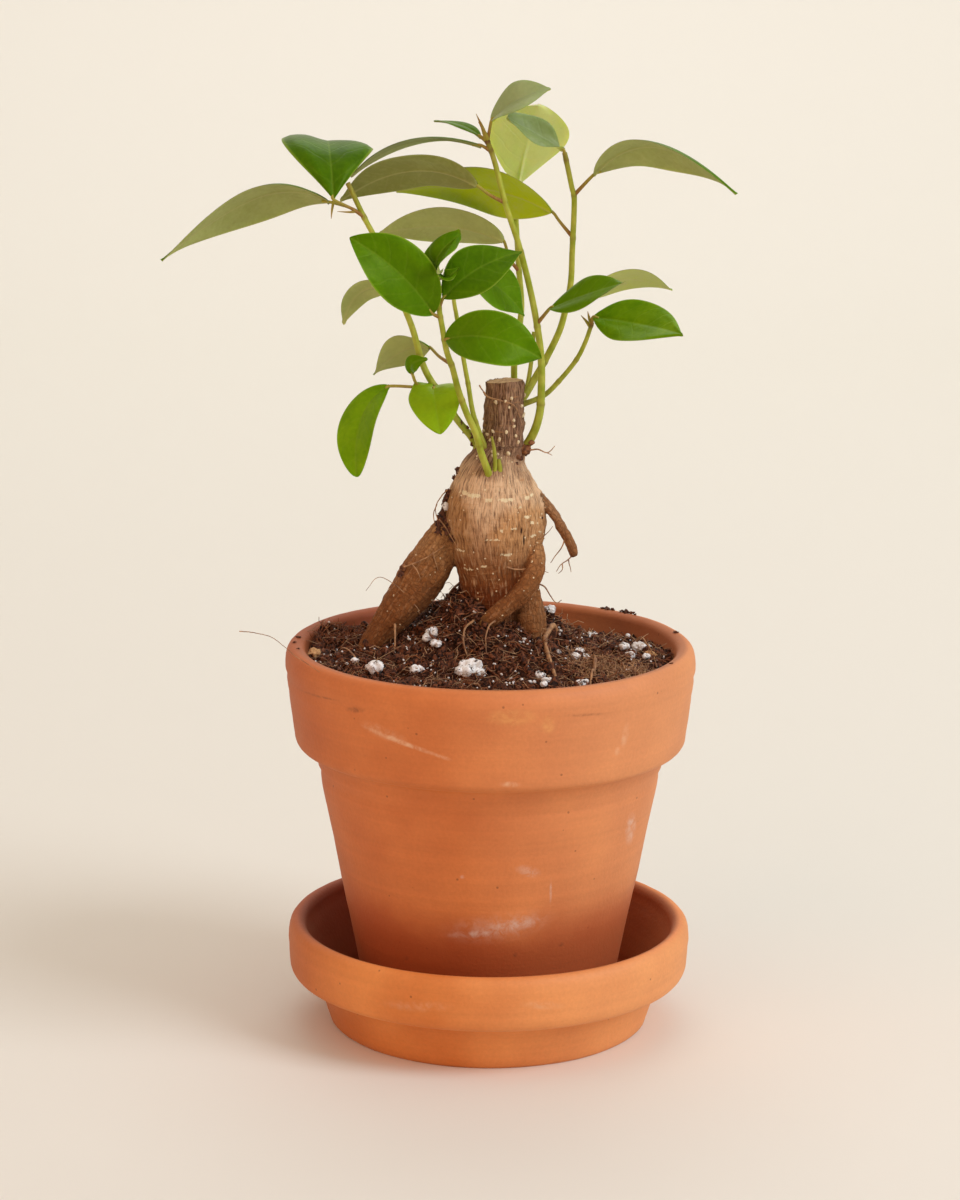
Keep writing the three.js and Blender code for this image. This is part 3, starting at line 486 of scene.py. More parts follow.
# Fine roots, threads and hairs: radius, then their route
ROOT_THREADS = [
    (0.28, [(-2.4, -3.5, 172.5), (-1.4, -4.8, 171.4), (1.8, -5.7, 170.6), (5.5, -5.2, 169.2),
            (7.4, -3.8, 165.5)]),
    (0.22, [(-3.6, -2, 174), (-2.6, -3.4, 172.6), (-1.6, -4.6, 171.4)]),
    (0.3, [(3.4, -11.2, 127.6), (6, -11, 126.7), (8.7, -10.4, 126.7), (10.6, -10.2, 127.4)]),
    (0.26, [(-23, -7.3, 126.3), (-19.5, -8.2, 127.8), (-16.2, -8.2, 129.7), (-12.2, -7.2, 132.2)]),
    (0.22, [(-21, -8, 127.4), (-19.5, -8.7, 125.6), (-18.6, -8.8, 123.4)]),
    (0.22, [(-15.5, -7.4, 130.4), (-14.8, -7.4, 127.6), (-14.2, -7, 125.2)]),
    (0.2, [(-21, -8.4, 117), (-19.4, -8.6, 115.6), (-18.8, -8.4, 113.8)]),
    (0.24, [(10, -4, 157.2), (12, -4.4, 157.4), (14.4, -4.6, 156.6), (16.3, -4.4, 158.4)]),
    (0.16, [(14.2, -4.6, 156.7), (15.6, -4.8, 155.9)]),
    (0.22, [(19.4, -4.6, 134.4), (18.6, -5, 131.8), (16.6, -5.6, 129), (15.6, -5.8, 127.4)]),
    (0.2, [(21.6, -5, 129.6), (20.2, -5.2, 128.2), (18.4, -5.4, 126.9), (17.2, -5.2, 125)]),
    (0.17, [(20.2, -5.1, 128.2), (20.7, -5.4, 126.2), (21, -5.2, 124.8)]),
    (0.17, [(18.6, -5.3, 127.1), (18.6, -5.6, 125.6), (17.6, -5.6, 124.4)]),
    (0.16, [(12.4, -6, 133.6), (14.6, -6.2, 135.4), (16, -6, 137.4)]),
    (0.16, [(12.2, -7.2, 125.2), (13.8, -7.4, 125.4), (15, -7.2, 125)]),
    (0.24, [(12.4, -6.4, 121.8), (14.2, -6.6, 121), (15.6, -7.2, 118.6), (17.2, -7.4, 117),
            (18.6, -7, 117.6)]),
    (0.14, [(-22, -8, 118.5), (-25.5, -9, 122), (-29.8, -10, 124.1), (-33, -10, 120.4)]),
    (0.17, [(-11.8, -4, 146.4), (-13.8, -3.5, 143.8), (-14.9, -3, 140.8), (-14, -4, 137.8),
            (-12, -6, 135)]),
    (0.15, [(-14.6, -3.2, 142.4), (-15.4, -3, 139.4), (-14.6, -4, 136.6), (-12.4, -6.4, 134.4)]),
    (0.19, [(-13.8, -4.4, 138.6), (-11.8, -7, 136.4), (-10, -9.2, 133.6), (-8.6, -10.4, 131.6)]),
    (0.13, [(-66, -15, 110.4), (-60.5, -25, 112.2), (-56, -31, 112.4), (-50, -33, 108), (-43, -30, 102.5)]),
    (0.4, [(-8, 6, 119.5), (-10.6, 3, 117.6), (-12.6, 1, 115), (-15, -1, 112.5)]),
    (0.3, [(38, 10, 101), (40, 7, 104.4), (41.4, 4, 104), (43.4, 0, 101.5)]),
]

# Roots that lie on the soil: radius, then x, y and lift over the soil
SOIL_ROOTS = [
    (0.85, [(17.4, -1, 0), (16.4, -4, 1.6), (14.7, -8, 1.6), (14.2, -12.5, 1.6), (14.5, -17, 1.5),
            (14.9, -21.3, 1.4), (15.5, -25, 1.4), (16.1, -28.9, 1.4), (16.9, -33, 1.2), (17.7, -37, 0)]),
    (0.34, [(-4.6, -14, 1.5), (-6.8, -17, 2.6), (-7.2, -19.5, 2), (-6.6, -22, 1.2), (-5.4, -24.5, 0.2)]),
    (0.27, [(1, -16, 2.4), (-0.6, -18, 2.4), (-1.4, -20.4, 1.7), (-1.2, -22.6, 0.6)]),
    (0.34, [(-25.4, -9, 6), (-25.2, -11.4, 3.4), (-25.4, -14, 0.5)]),
    (0.6, [(27, -14.5, 0), (27.2, -19, 2.4), (26.8, -24, 2.8), (26.2, -29, 2.2), (25.2, -34.8, 0)]),
    (0.16, [(37.8, -18, 0.5), (36, -24, 2.4), (35.2, -29, 0.6)]),
    (0.3, [(-34, -20, 0.3), (-36, -14, 1.6), (-39, -9, 1.5), (-41, -3, 0.3)]),
]

# Scars where fine roots were: centre x, z, half-length, half-height and depth of tone (pale is
# above 0, a dark crack below), all on the bulb's front
ROOT_SCARS = [
    (-7.3, 146.7, 1.5, 0.6, 1), (-4.9, 146.1, 1.7, 0.6, 1), (-0.9, 145.2, 1.4, 0.5, 1),
    (3.8, 145.2, 2.2, 0.5, 1), (8.9, 145.3, 0.7, 0.5, 1), (10.2, 145.8, 0.5, 0.4, 1),
    (-1.9, 147.8, 0.5, 0.4, 1), (0.7, 134.9, 3.2, 0.3, 0.9), (3.6, 130.8, 2.1, 0.4, 0.95),
    (-8.3, 131.2, 1.4, 0.4, 0.95), (2.5, 137.4, 0.6, 0.4, 1), (9.1, 140.6, 1.0, 0.5, 1),
    (10.4, 138.8, 0.5, 0.5, 1), (7.2, 143.2, 0.5, 0.4, 0.9), (-5.9, 126.2, 1.8, 0.35, 0.9),
    (10.6, 135.2, 0.9, 0.4, 1), (5.6, 137.9, 0.9, 0.3, 0.9), (-2, 127.4, 1, 0.3, 0.9),
    (8.2, 134.6, 0.25, 1.9, -0.9), (7.5, 137.2, 0.22, 1.2, -0.8),
]


# ---------------------------------------------------------------- materials
# The scale of a noise is written as 1 / the size of its grain in mm.

def material(name):
    """A new material and its empty tree."""
    made = bpy.data.materials.new(name)
    made.use_nodes = True
    made.node_tree.nodes.clear()
    return made, made.node_tree


def finish(tree, colour, relief=None, strength=0.0, depth=0.0, **values):
    """Ends the tree in one Principled surface, with its colour, its plain values, and its relief as
    a bump of so many millimetres."""
    sockets = {"Base Color": colour, **{name.replace("_", " "): value for name, value in values.items()}}
    if relief is not None:
        sockets["Normal"] = add(tree, "ShaderNodeBump",
                                {"Strength": strength, "Distance": depth * MM, "Height": relief})
    skin = add(tree, "ShaderNodeBsdfPrincipled", sockets)
    add(tree, "ShaderNodeOutputMaterial", {"Surface": skin})


def in_millimetres(tree):
    """The object's own coordinates, counted in millimetres."""
    own = add(tree, "ShaderNodeTexCoord").outputs["Object"]
    return add(tree, "ShaderNodeVectorMath", {0: own, "Scale": 1 / MM}, operation="SCALE")


def streaks(tree, at, stretch, **noise_values):
    """Noise with so many grains to the millimetre along each axis."""
    stretched = add(tree, "ShaderNodeVectorMath", {0: at, 1: stretch}, operation="MULTIPLY")
    return add(tree, "ShaderNodeTexNoise", {"Vector": stretched, "Scale": 1.0, **noise_values})


def layered(tree, colour, *layers):
    """The colour with tints laid over it. A layer is a tint, the pattern that it follows, the
    pattern's values where it starts and is full, its greatest share, and a mask that it keeps to."""
    for tint, pattern, start, full, *rest in layers:
        most, *masks = rest or [1.0]
        share = add(tree, "ShaderNodeMapRange", {0: pattern, 1: start, 2: full, 3: 0.0, 4: most})
        for mask in masks:
            share = add(tree, "ShaderNodeMath", {0: share, 1: mask}, operation="MULTIPLY")
        colour = add(tree, "ShaderNodeMix", {0: share, 6: colour, 7: linear(tint)}, data_type="RGBA")
    return colour


RAGGED = 16.0  # how far, in mm, noise moves the edge of a zone up and down
# The side that the key light falls on, for the painted highlight and shade on the clay
LIT_SIDE = (0.82, -0.57, 0)


def terracotta(name, light, dark, damp, damp_height, inside, stains):
    """Red clay turned on a wheel and fired without a glaze: a dry, chalky skin with faint turning
    rings, and a darker foot where water has drawn up. Its grit is drawn at 0.9 mm, twice the real
    size, to show at all. inside says where the inner side starts, which is painted darker as painted
    shade: the wall's slope, its radius at the foot, colour and share. stains are places that salts or
    handling left: centre, reach, slope in degrees, share and colour."""
    clay, tree = material(name)
    at = in_millimetres(tree)
    height = add(tree, "ShaderNodeSeparateXYZ", {0: at}).outputs["Z"]
    level = add(tree, "ShaderNodeVectorMath", {0: at, 1: (1, 1, 0)}, operation="MULTIPLY")
    radius = add(tree, "ShaderNodeVectorMath", {0: level}, operation="LENGTH")
    facing = add(tree, "ShaderNodeVectorMath", {0: at, 1: LIT_SIDE}, operation="DOT_PRODUCT")
    cloud = add(tree, "ShaderNodeTexNoise", {"Vector": at, "Scale": 1 / 26, "Detail": 4.0})
    grit = add(tree, "ShaderNodeTexNoise", {"Vector": at, "Scale": 1 / 0.9, "Detail": 3.0})
    # Turning rings about 1.4 mm apart, stretched round the pot
    rings = streaks(tree, at, (0.012, 0.012, 0.7), Detail=3.0)
    # Painted light: a painted highlight makes the side towards the key light paler, and painted shade
    # makes the far side darker and redder
    colour = layered(tree, linear(dark), (light, cloud, 0.34, 0.68), ("f5bc88", facing, 18, 62, 0.36),
                     ("9a3c12", facing, -2, -54, 0.9))
    uneven = add(tree, "ShaderNodeMath", {0: rings, 1: grit}, operation="ADD")
    shade = add(tree, "ShaderNodeMapRange", {0: uneven, 1: 0.6, 2: 1.4, 3: 0.92, 4: 1.06})
    colour = add(tree, "ShaderNodeVectorMath", {0: colour, "Scale": shade}, operation="SCALE")
    # Burnt specks of iron, one every 5.5 mm or so
    specks = add(tree, "ShaderNodeTexVoronoi", {"Vector": at, "Scale": 1 / 5.5})
    slope, foot_radius, inside_shade_colour, inside_shade_share = inside
    leaning = add(tree, "ShaderNodeMath", {0: height, 1: -slope, 2: radius}, operation="MULTIPLY_ADD")
    # The damp foot fades upwards along a ragged line
    ragged = add(tree, "ShaderNodeMath", {0: cloud, 1: RAGGED, 2: height}, operation="MULTIPLY_ADD")
    wet = add(tree, "ShaderNodeMapRange", {0: ragged, 1: damp_height + 15, 2: damp_height},
              interpolation_type="SMOOTHSTEP")
    # Burnt specks, the inner side painted darker as painted shade, and the damp foot
    colour = layered(tree, colour, ("6e3a20", specks, 0.075, 0.04, 0.55),
                     (inside_shade_colour, leaning, foot_radius + 0.6, foot_radius - 0.6, inside_shade_share),
                     (damp, wet, 0, 1, 0.75))
    # The stains are broken up over 3.2 mm, as if wiped
    smear = add(tree, "ShaderNodeTexNoise", {"Vector": at, "Scale": 1 / 3.2, "Detail": 6.0,
                                             "Roughness": 0.72, "Distortion": 0.8})
    smeared = add(tree, "ShaderNodeMapRange", {0: smear, 1: 0.4, 2: 0.66, 3: 0.08, 4: 1.0})
    for centre, reach, degrees, share, stain in stains:
        moved = add(tree, "ShaderNodeVectorMath", {0: at, 1: centre}, operation="SUBTRACT")
        turned_to = add(tree, "ShaderNodeVectorRotate", {"Vector": moved, "Angle": math.radians(degrees)},
                        rotation_type="Y_AXIS")
        scaled = add(tree, "ShaderNodeVectorMath", {0: turned_to, 1: reach}, operation="DIVIDE")
        far = add(tree, "ShaderNodeVectorMath", {0: scaled}, operation="LENGTH")
        near = add(tree, "ShaderNodeMapRange", {0: far, 1: 1.0, 2: 0.2}, interpolation_type="SMOOTHSTEP")
        colour = layered(tree, colour, (stain, near, 0, 1, share, smeared))
    relief = add(tree, "ShaderNodeMath", {0: rings, 1: 0.7, 2: grit}, operation="MULTIPLY_ADD")
    finish(tree, colour, relief, 0.4, 0.2, Roughness=0.62, Specular_IOR_Level=0.38,
           Sheen_Weight=0.09, Sheen_Roughness=0.5, Sheen_Tint=linear("ffd09a"))
    return clay


def leaf_skin(name, dark, middle, light, rib, margin, rib_share, reach=(0.6, 1.0, 0.15), through=0.15,
              **values):
    """Cuticle of a leathery leaf. Side veins leave the midrib every 2.4 mm and hardly show; the UV
    map holds the way out from the midrib and the way along the slanted veins, in centimetres. The
    attribute tone runs from the dark to the light leaves, and is set leaf by leaf partly as painted
    light and shade; edge runs from midrib to margin. reach and through say how far and how much
    light goes through the blade."""
    cuticle, tree = material(name)
    at = in_millimetres(tree)
    uv = add(tree, "ShaderNodeSeparateXYZ", {0: add(tree, "ShaderNodeTexCoord").outputs["UV"]})
    out = add(tree, "ShaderNodeMath", {0: uv}, operation="ABSOLUTE")
    tone = add(tree, "ShaderNodeAttribute", attribute_name="tone").outputs["Fac"]
    edge = add(tree, "ShaderNodeAttribute", attribute_name="edge").outputs["Fac"]
    # The green is a little uneven, over 6 mm and over 1.1 mm
    blotch = add(tree, "ShaderNodeTexNoise", {"Vector": at, "Scale": 1 / 6, "Detail": 4.0})
    fine = add(tree, "ShaderNodeTexNoise", {"Vector": at, "Scale": 1 / 1.1, "Detail": 3.0})
    shade = tone
    for pattern, most in ((blotch, 0.06), (fine, 0.04)):
        uneven = add(tree, "ShaderNodeMapRange", {0: pattern, 1: 0.3, 2: 0.7, 3: -most, 4: most})
        shade = add(tree, "ShaderNodeMath", {0: shade, 1: uneven}, operation="ADD")
    # Side veins as narrow lines where the slanted way passes a whole number
    slanted = add(tree, "ShaderNodeMath", {0: blotch, 1: 0.35, 2: uv.outputs["Y"]},
                  operation="MULTIPLY_ADD")
    counted = add(tree, "ShaderNodeMath", {0: slanted, 1: 10 / 2.4}, operation="MULTIPLY")
    wave = add(tree, "ShaderNodeMath", {0: counted, 1: 1.0}, operation="PINGPONG")
    side_vein = add(tree, "ShaderNodeMapRange", {0: wave, 1: 0.2, 2: 0.0})
    midrib = add(tree, "ShaderNodeMapRange", {0: out, 1: 0.04, 2: 0.008, 3: 0.0, 4: rib_share})
    veins, relief = [add(tree, "ShaderNodeMath", {0: side_vein, 1: weight, 2: over},
                         operation="MULTIPLY_ADD") for over, weight in ((midrib, 0.07), (fine, -0.5))]
    colour = layered(tree, linear(dark), (middle, shade, 0, 0.5), (light, shade, 0.5, 1),
                     (rib, veins, 0, 1), (margin, edge, 0.93, 1, 0.6))
    finish(tree, colour, relief, 0.4, 0.16, Subsurface_Weight=through, Subsurface_Scale=MM,
           Subsurface_Radius=reach, **values)
    return cuticle


def young_bark(name, green, straw, brown):
    """Skin of a new twig: green, ribbed lengthwise every half millimetre, browner with age.
    The attribute age runs from 0, fresh, to 1, corky."""
    bark, tree = material(name)
    at = in_millimetres(tree)
    age = add(tree, "ShaderNodeAttribute", attribute_name="age").outputs["Fac"]
    ribs = streaks(tree, at, (1.9, 1.9, 0.22), Detail=4.0)
    patch = add(tree, "ShaderNodeTexNoise", {"Vector": at, "Scale": 1 / 4, "Detail": 3.0})
    worn = add(tree, "ShaderNodeMath", {0: ribs, 1: 0.8, 2: age}, operation="MULTIPLY_ADD")
    colour = layered(tree, linear(green), (straw, patch, 0.3, 0.7), (brown, worn, 0.4, 1.4))
    finish(tree, colour, ribs, 0.5, 0.2, Roughness=0.5, Specular_IOR_Level=0.2, Subsurface_Weight=0.1,
           Subsurface_Scale=MM)
    return bark


def root_bark():
    """Bark of a fig's swollen root: thin, matt and tan, with lengthwise cracks every half
    millimetre, redder and cross-wrinkled below, nearly black-brown on the sawn stub above, and pale
    flat scars. The attributes grain and scar hold the place along each root and the scars."""
    bark, tree = material("root_bark")
    at = in_millimetres(tree)
    height = add(tree, "ShaderNodeSeparateXYZ", {0: at}).outputs["Z"]
    grain = add(tree, "ShaderNodeAttribute", attribute_name="grain").outputs["Vector"]
    limb = add(tree, "ShaderNodeSeparateXYZ", {0: grain}).outputs["Z"]
    scar = add(tree, "ShaderNodeAttribute", attribute_name="scar").outputs["Fac"]
    # Cracks half a millimetre apart, fibres twice as fine, and cross wrinkles 0.8 mm high
    cracks = streaks(tree, grain, (1.9, 1.9, 0.3), Detail=5.0, Roughness=0.6, Distortion=0.3)
    fibre = streaks(tree, grain, (3.6, 3.6, 0.45), Detail=3.0)
    wrinkles = streaks(tree, grain, (0.22, 0.22, 1.3), Detail=4.0)
    patch = add(tree, "ShaderNodeTexNoise", {"Vector": at, "Scale": 1 / 7, "Detail": 4.0})
    # The height, moved by noise; the heights of the zones below count from this
    uneven = add(tree, "ShaderNodeMath", {0: patch, 1: RAGGED, 2: height}, operation="MULTIPLY_ADD")
    on_stub = add(tree, "ShaderNodeMapRange", {0: uneven, 1: 157.5, 2: 165.0})
    # Cracks and ridges show most on the bulb and the stub, less on the roots that run from it
    on_bulb = add(tree, "ShaderNodeMapRange",
                  {0: limb, 1: LIMB_GAP - 14, 2: LIMB_GAP - 8, 3: 1.0, 4: 0.6})
    # The roots below are lighter and netted with fine dark furrows 1.3 mm apart
    below = add(tree, "ShaderNodeMapRange", {0: on_bulb, 1: 0.95, 2: 0.65})
    bent = add(tree, "ShaderNodeVectorMath", {0: cracks.outputs["Color"], 1: (1.1, 1.1, 1.1), 2: grain},
               operation="MULTIPLY_ADD")
    net = add(tree, "ShaderNodeTexVoronoi", {"Vector": bent, "Scale": 1 / 1.3}, feature="DISTANCE_TO_EDGE")
    furrow = add(tree, "ShaderNodeMapRange", {0: net, 1: 0.2, 2: 0.0, 3: 0.0, 4: 0.4})
    furrowed = add(tree, "ShaderNodeMath", {0: furrow, 1: below}, operation="MULTIPLY")
    flaw = add(tree, "ShaderNodeTexNoise", {"Vector": at, "Scale": 1 / 0.7, "Detail": 4.0})
    torn = add(tree, "ShaderNodeMath", {0: flaw, 1: 2.4, 2: scar}, operation="MULTIPLY_ADD")

    def near_to(centre, reach, tint):
        """A layer that is full at the centre and gone from reach mm on, ragged between."""
        gap = add(tree, "ShaderNodeVectorMath", {0: at, 1: centre}, operation="DISTANCE")
        loose = add(tree, "ShaderNodeMath", {0: patch, 1: -6.0, 2: gap}, operation="MULTIPLY_ADD")
        return tint, loose, reach - 3, reach - 6

    hanging_from = LIMB_GAP * list(LIMBS).index("hanging")
    colour = layered(
        tree, linear("b67840"), ("e4bb92", uneven, 132, 152), ("b27a46", patch, 0.48, 0.7, 0.4),
        near_to((9, -9, 134), 11, "cc9662"), ("743710", uneven, 146, 126.5),
        near_to((-13, -5, 137), 12, "b48252"), near_to((11, -9, 105), 13, "744422"),
        near_to((-4, -12, 109), 8, "5f4a1e"), ("9c7458", on_stub, 0, 1),
        ("7c4e2e", limb, hanging_from - 5, hanging_from - 1, 0.75),
        ("643c20", fibre, 0.52, 0.34, 0.5), ("4a2a16", cracks, 0.47, 0.34, 0.65, on_bulb),
        ("3a2214", fibre, 0.52, 0.42, 0.6, on_stub), ("dcb488", cracks, 0.54, 0.66, 0.5, on_bulb),
        ("c08a58", wrinkles, 0.6, 0.7, 0.5), ("b47842", below, 0, 1, 0.35), ("54321a", furrowed, 0, 1),
        ("efd9ae", torn, 1.72, 1.95, 0.95), ("2a150c", scar, -0.3, -0.7))
    relief = cracks
    for pattern, weight in ((wrinkles, 0.5), (fibre, 0.4), (furrowed, -0.5)):
        relief = add(tree, "ShaderNodeMath", {0: pattern, 1: weight, 2: relief}, operation="MULTIPLY_ADD")
    finish(tree, colour, relief, 0.9, 0.7, Roughness=0.8, Specular_IOR_Level=0.2)
    return bark


def mottled(name, light, dark, grain, depth, low=0.35, high=0.65, **values):
    """A matt natural stuff in two colours that change over a grain in mm, with a relief of a depth
    in mm; low and high say where in the noise the dark one ends and the light one begins."""
    stuff, tree = material(name)
    patch = add(tree, "ShaderNodeTexNoise", {"Vector": in_millimetres(tree), "Scale": 1 / grain,
                                             "Detail": 5.0, "Roughness": 0.65})
    finish(tree, layered(tree, linear(dark), (light, patch, low, high)), patch, 0.7, depth, **values)
    return stuff


def burst_glass():
    """Perlite, a volcanic glass burst by heat: white and chalky, pitted over 1.2 mm, with dark mix
    left in patches of 2.1 mm."""
    glass, tree = material("expanded_perlite")
    at = in_millimetres(tree)
    pits, dirt = [add(tree, "ShaderNodeTexNoise", {"Vector": at, "Scale": 1 / size, "Detail": detail,
                                                   "Roughness": roughness})
                  for size, detail, roughness in ((1.2, 4.0, 0.6), (2.1, 5.0, 0.7))]
    colour = layered(tree, linear("d8ccc0"), ("fdfaf6", pits, 0.4, 0.58),
                     ("3a2418", dirt, 0.43, 0.38, 0.95))
    finish(tree, colour, pits, 0.8, 0.4, Roughness=0.7)
    return glass


SALT, LIME, PALE_CLAY, SOOT = "e8b48c", "e0c4b4", "eaaa62", "7a4226"
pot_clay = terracotta(
    "fired_terracotta_pot", "dc8042", "c96d34", "ac4a20", 38, (0.27, 24, "98502c", 0.6),
    [
        ((-22.5, -48, 89.7), (15, 14, 0.9), -15, 0.95, SALT),
        ((-27, -46, 91.6), (8, 14, 2.4), -15, 0.5, SALT),
        ((-12, -52, 86.8), (3, 9, 0.8), -15, 0.8, SALT),
        ((5, -53, 79.8), (3.4, 9, 1.1), -4, 0.8, SALT),
        ((5, -53, 98), (8, 9, 3), 0, 0.75, PALE_CLAY),
        ((14.5, -52, 95.8), (2.2, 9, 3.4), 0, 0.7, PALE_CLAY),
        ((34.5, -42, 90), (1.2, 8, 4.5), -8, 0.6, SALT),
        ((32.5, -42, 86), (1.0, 8, 1.6), 0, 0.6, SALT),
        ((5.5, -38, 38), (11, 12, 2.6), 12, 0.65, LIME),
        ((2, -38, 37.5), (18, 12, 5.5), 8, 0.25, LIME),
        ((-4, -38, 35.5), (9, 12, 1.3), 6, 0.5, LIME),
        ((10, -40, 53.5), (4.2, 12, 2), -20, 0.6, LIME),
        ((-7, -40, 52), (0.9, 12, 0.8), 0, 0.65, LIME),
        ((16, -37, 47), (0.45, 12, 5), 0, 0.6, LIME),
        ((37, -22, 60), (2, 9, 6), 0, 0.7, LIME),
        ((7, -38, 29.5), (0.9, 12, 0.9), 0, 0.9, SOOT),
        ((19, -34, 31), (1.1, 12, 0.9), 0, 0.9, SOOT),
        ((-22, -33, 26), (1.6, 12, 1.2), 0, 0.8, SOOT),
        ((-34.5, -41, 96.4), (3.4, 10, 1.1), 12, 0.7, SOOT),
        ((-44, -31, 97.2), (13, 14, 0.5), 7, 0.6, SOOT),
        ((24, -48, 97.4), (9, 10, 0.6), -4, 0.5, SOOT),
    ],
)
saucer_clay = terracotta(
    "fired_terracotta_saucer", "e88f48", "d67935", "74301a", -30, (0.36, 41.2, "7c3214", 0.6),
    [((-18, -50, 20), (12, 12, 2), 6, 0.4, SALT), ((14, -52, 21), (7, 12, 1.6), -8, 0.4, SALT)])

# Leaf blades: a waxy upper side with a soft gloss; a matt and paler underside, whose lightest tone
# is a painted glow of light coming through; a skin with a painted grey sheen; and a skin painted
# pale as if backlit, which also lets some light through
leaf_upper = leaf_skin("leaf_cuticle_upper", "284804", "5f8806", "9fbe1c", "8fa838", "98ac3a", 0.17,
                       (0.5, 1.0, 0.05), Roughness=0.34, Specular_IOR_Level=0.14,
                       Specular_Tint=linear("e2ee6c"))
leaf_under = leaf_skin("leaf_cuticle_under", "858844", "b6bc73", "b8c806", "bdb578", "b4ae70", 0.35,
                       Roughness=0.6, Specular_IOR_Level=0.15)
leaf_bloom = leaf_skin("leaf_cuticle_bloom", "3a5524", "748546", "a4b27a", "9cab7c", "8aa04c", 0.25,
                       Roughness=0.42, Specular_IOR_Level=0.2)
leaf_young = leaf_skin("leaf_cuticle_young", "8a9236", "b8bc60", "dcd993", "dede9e", "cdd08a", 0.35,
                       through=0.7, Roughness=0.5, Specular_IOR_Level=0.2)
stem_bark = young_bark("green_stem_bark", "8f9c1c", "bcbc4c", "74502c")
petiole_bark = young_bark("petiole_skin", "9aa430", "b4a848", "8e5232")
bulb_bark = root_bark()
perlite_glass = burst_glass()

# Wood that was sawn across and has dried out, dull and tan; cork that grew over pores, pale and
# chalky; callus that closed a cut, red-brown; and bark that came off, in tan flakes and dark slivers
sawn_wood = mottled("sawn_fig_wood", "d2ae7c", "a0764a", 0.9, 0.2, Roughness=0.85)
cork = mottled("lenticel_cork", "efdcb6", "cba878", 0.6, 0.1, Roughness=0.9)
callus = mottled("callus_bark", "a4683a", "54301a", 0.9, 0.4, Roughness=0.8)
bark_flake = mottled("bark_flake", "d9a468", "8e5e34", 1.2, 0.3, Roughness=0.8)
bark_sliver = mottled("bark_sliver", "a05c34", "3c2014", 2.2, 0.2, Roughness=0.7)
# Potting mix: peat that was dug, dried and watered again, nearly black with a dull wet sheen, and
# coir combed out of coconut husk, red-brown and matt
peat = mottled("moist_peat", "502a16", "160905", 1.3, 0.6, Roughness=0.8, Specular_IOR_Level=0.15)
peat_crumb = mottled("peat_crumb", "8c4f2f", "200e07", 0.9, 0.4, 0.42, 0.7, Roughness=0.65,
                     Specular_IOR_Level=0.18)
clinging_peat = mottled("clinging_peat", "7c4628", "241008", 0.9, 0.4, Roughness=0.75)
coir = mottled("coir_fibre", "a8602c", "4c2612", 2.4, 0.1, Roughness=0.7)
# Roots and root hairs that grew in the mix and were washed bare: tan and matt
pale_hair = mottled("pale_root_hair", "c99c6e", "6e4830", 4.0, 0.1, Roughness=0.7)
grey_hair = mottled("matted_root_hair", "cc9a6a", "805436", 2.0, 0.1, Roughness=0.8)
fine_root = mottled("fine_root_skin", "c4905e", "704a30", 2.0, 0.1, Roughness=0.7)


# ---------------------------------------------------------------- geometry node trees

FULL_TURN = 6.28  # in radians, as near as a random turn needs
SOCKETS = {float: "NodeSocketFloat", int: "NodeSocketInt", tuple: "NodeSocketVector",
           type(None): "NodeSocketMaterial"}


def new_tree(name, **defaults):
    """A geometry tree and its inputs, each with a default that also says its kind."""
    tree = bpy.data.node_groups.new(name, "GeometryNodeTree")
    for side in ("INPUT", "OUTPUT"):
        tree.interface.new_socket("Geometry", in_out=side, socket_type="NodeSocketGeometry")
    for label, default in {**defaults, "Material": None}.items():
        socket = tree.interface.new_socket(label, in_out="INPUT", socket_type=SOCKETS[type(default)])
        if default is not None:
            socket.default_value = default
    return tree, add(tree, "NodeGroupInput").outputs


def end_tree(tree, given, geometry):
    """Ends a tree in its geometry, made smooth and real, in the given material."""
    soft = add(tree, "GeometryNodeSetShadeSmooth", {0: geometry})
    real = add(tree, "GeometryNodeRealizeInstances", {0: soft})
    done = add(tree, "GeometryNodeSetMaterial", {0: real, "Material": given["Material"]})
    add(tree, "NodeGroupOutput", {0: done})
    return tree


def run_tree(tree, carrier, name, **values):
    """Runs the tree on the carrier object and returns the result as a plain mesh object."""
    modifier = carrier.modifiers.new(tree.name, "NODES")
    modifier.node_group = tree
    for item in tree.interface.items_tree:
        if item.in_out == "INPUT" and item.name in values:
            modifier[item.identifier] = values[item.name]
    return plain(carrier, name)


def pushed(tree, geometry, amount, shift, middle=(0.5, 0.5, 0.5), **noise_values):
    """The geometry with its points pushed about by noise round a middle; shift picks the noise."""
    drift = add(tree, "ShaderNodeTexNoise", {"W": shift, **noise_values}, noise_dimensions="4D")
    centred = add(tree, "ShaderNodeVectorMath", {0: drift.outputs["Color"], 1: middle},
                  operation="SUBTRACT")
    offset = add(tree, "ShaderNodeVectorMath", {0: centred, "Scale": amount}, operation="SCALE")
    return add(tree, "GeometryNodeSetPosition", {"Geometry": geometry, "Offset": offset})


def strewn(tree, given, kinds, turn, size, lift=0.0):
    """On random spots of the carrier, lifted off it, one of the kinds, turned and sized."""
    spots = add(tree, "GeometryNodeDistributePointsOnFaces",
                {"Mesh": given["Geometry"], "Density": given["Density"], "Seed": given["Seed"]})
    lifted = add(tree, "ShaderNodeVectorMath", {0: spots.outputs["Normal"], "Scale": lift},
                 operation="SCALE")
    lying = add(tree, "GeometryNodeSetPosition", {"Geometry": spots, "Offset": lifted})
    instances = [add(tree, "GeometryNodeGeometryToInstance", {0: kind}) for kind in kinds]
    which = add(tree, "FunctionNodeRandomValue", {4: 0, 5: len(kinds) - 1, "Seed": given["Seed"]},
                data_type="INT")
    return add(tree, "GeometryNodeInstanceOnPoints",
               {"Points": lying, "Instance": add(tree, "GeometryNodeJoinGeometry", {0: instances}),
                "Pick Instance": True, "Instance Index": which, "Rotation": turn, "Scale": size})


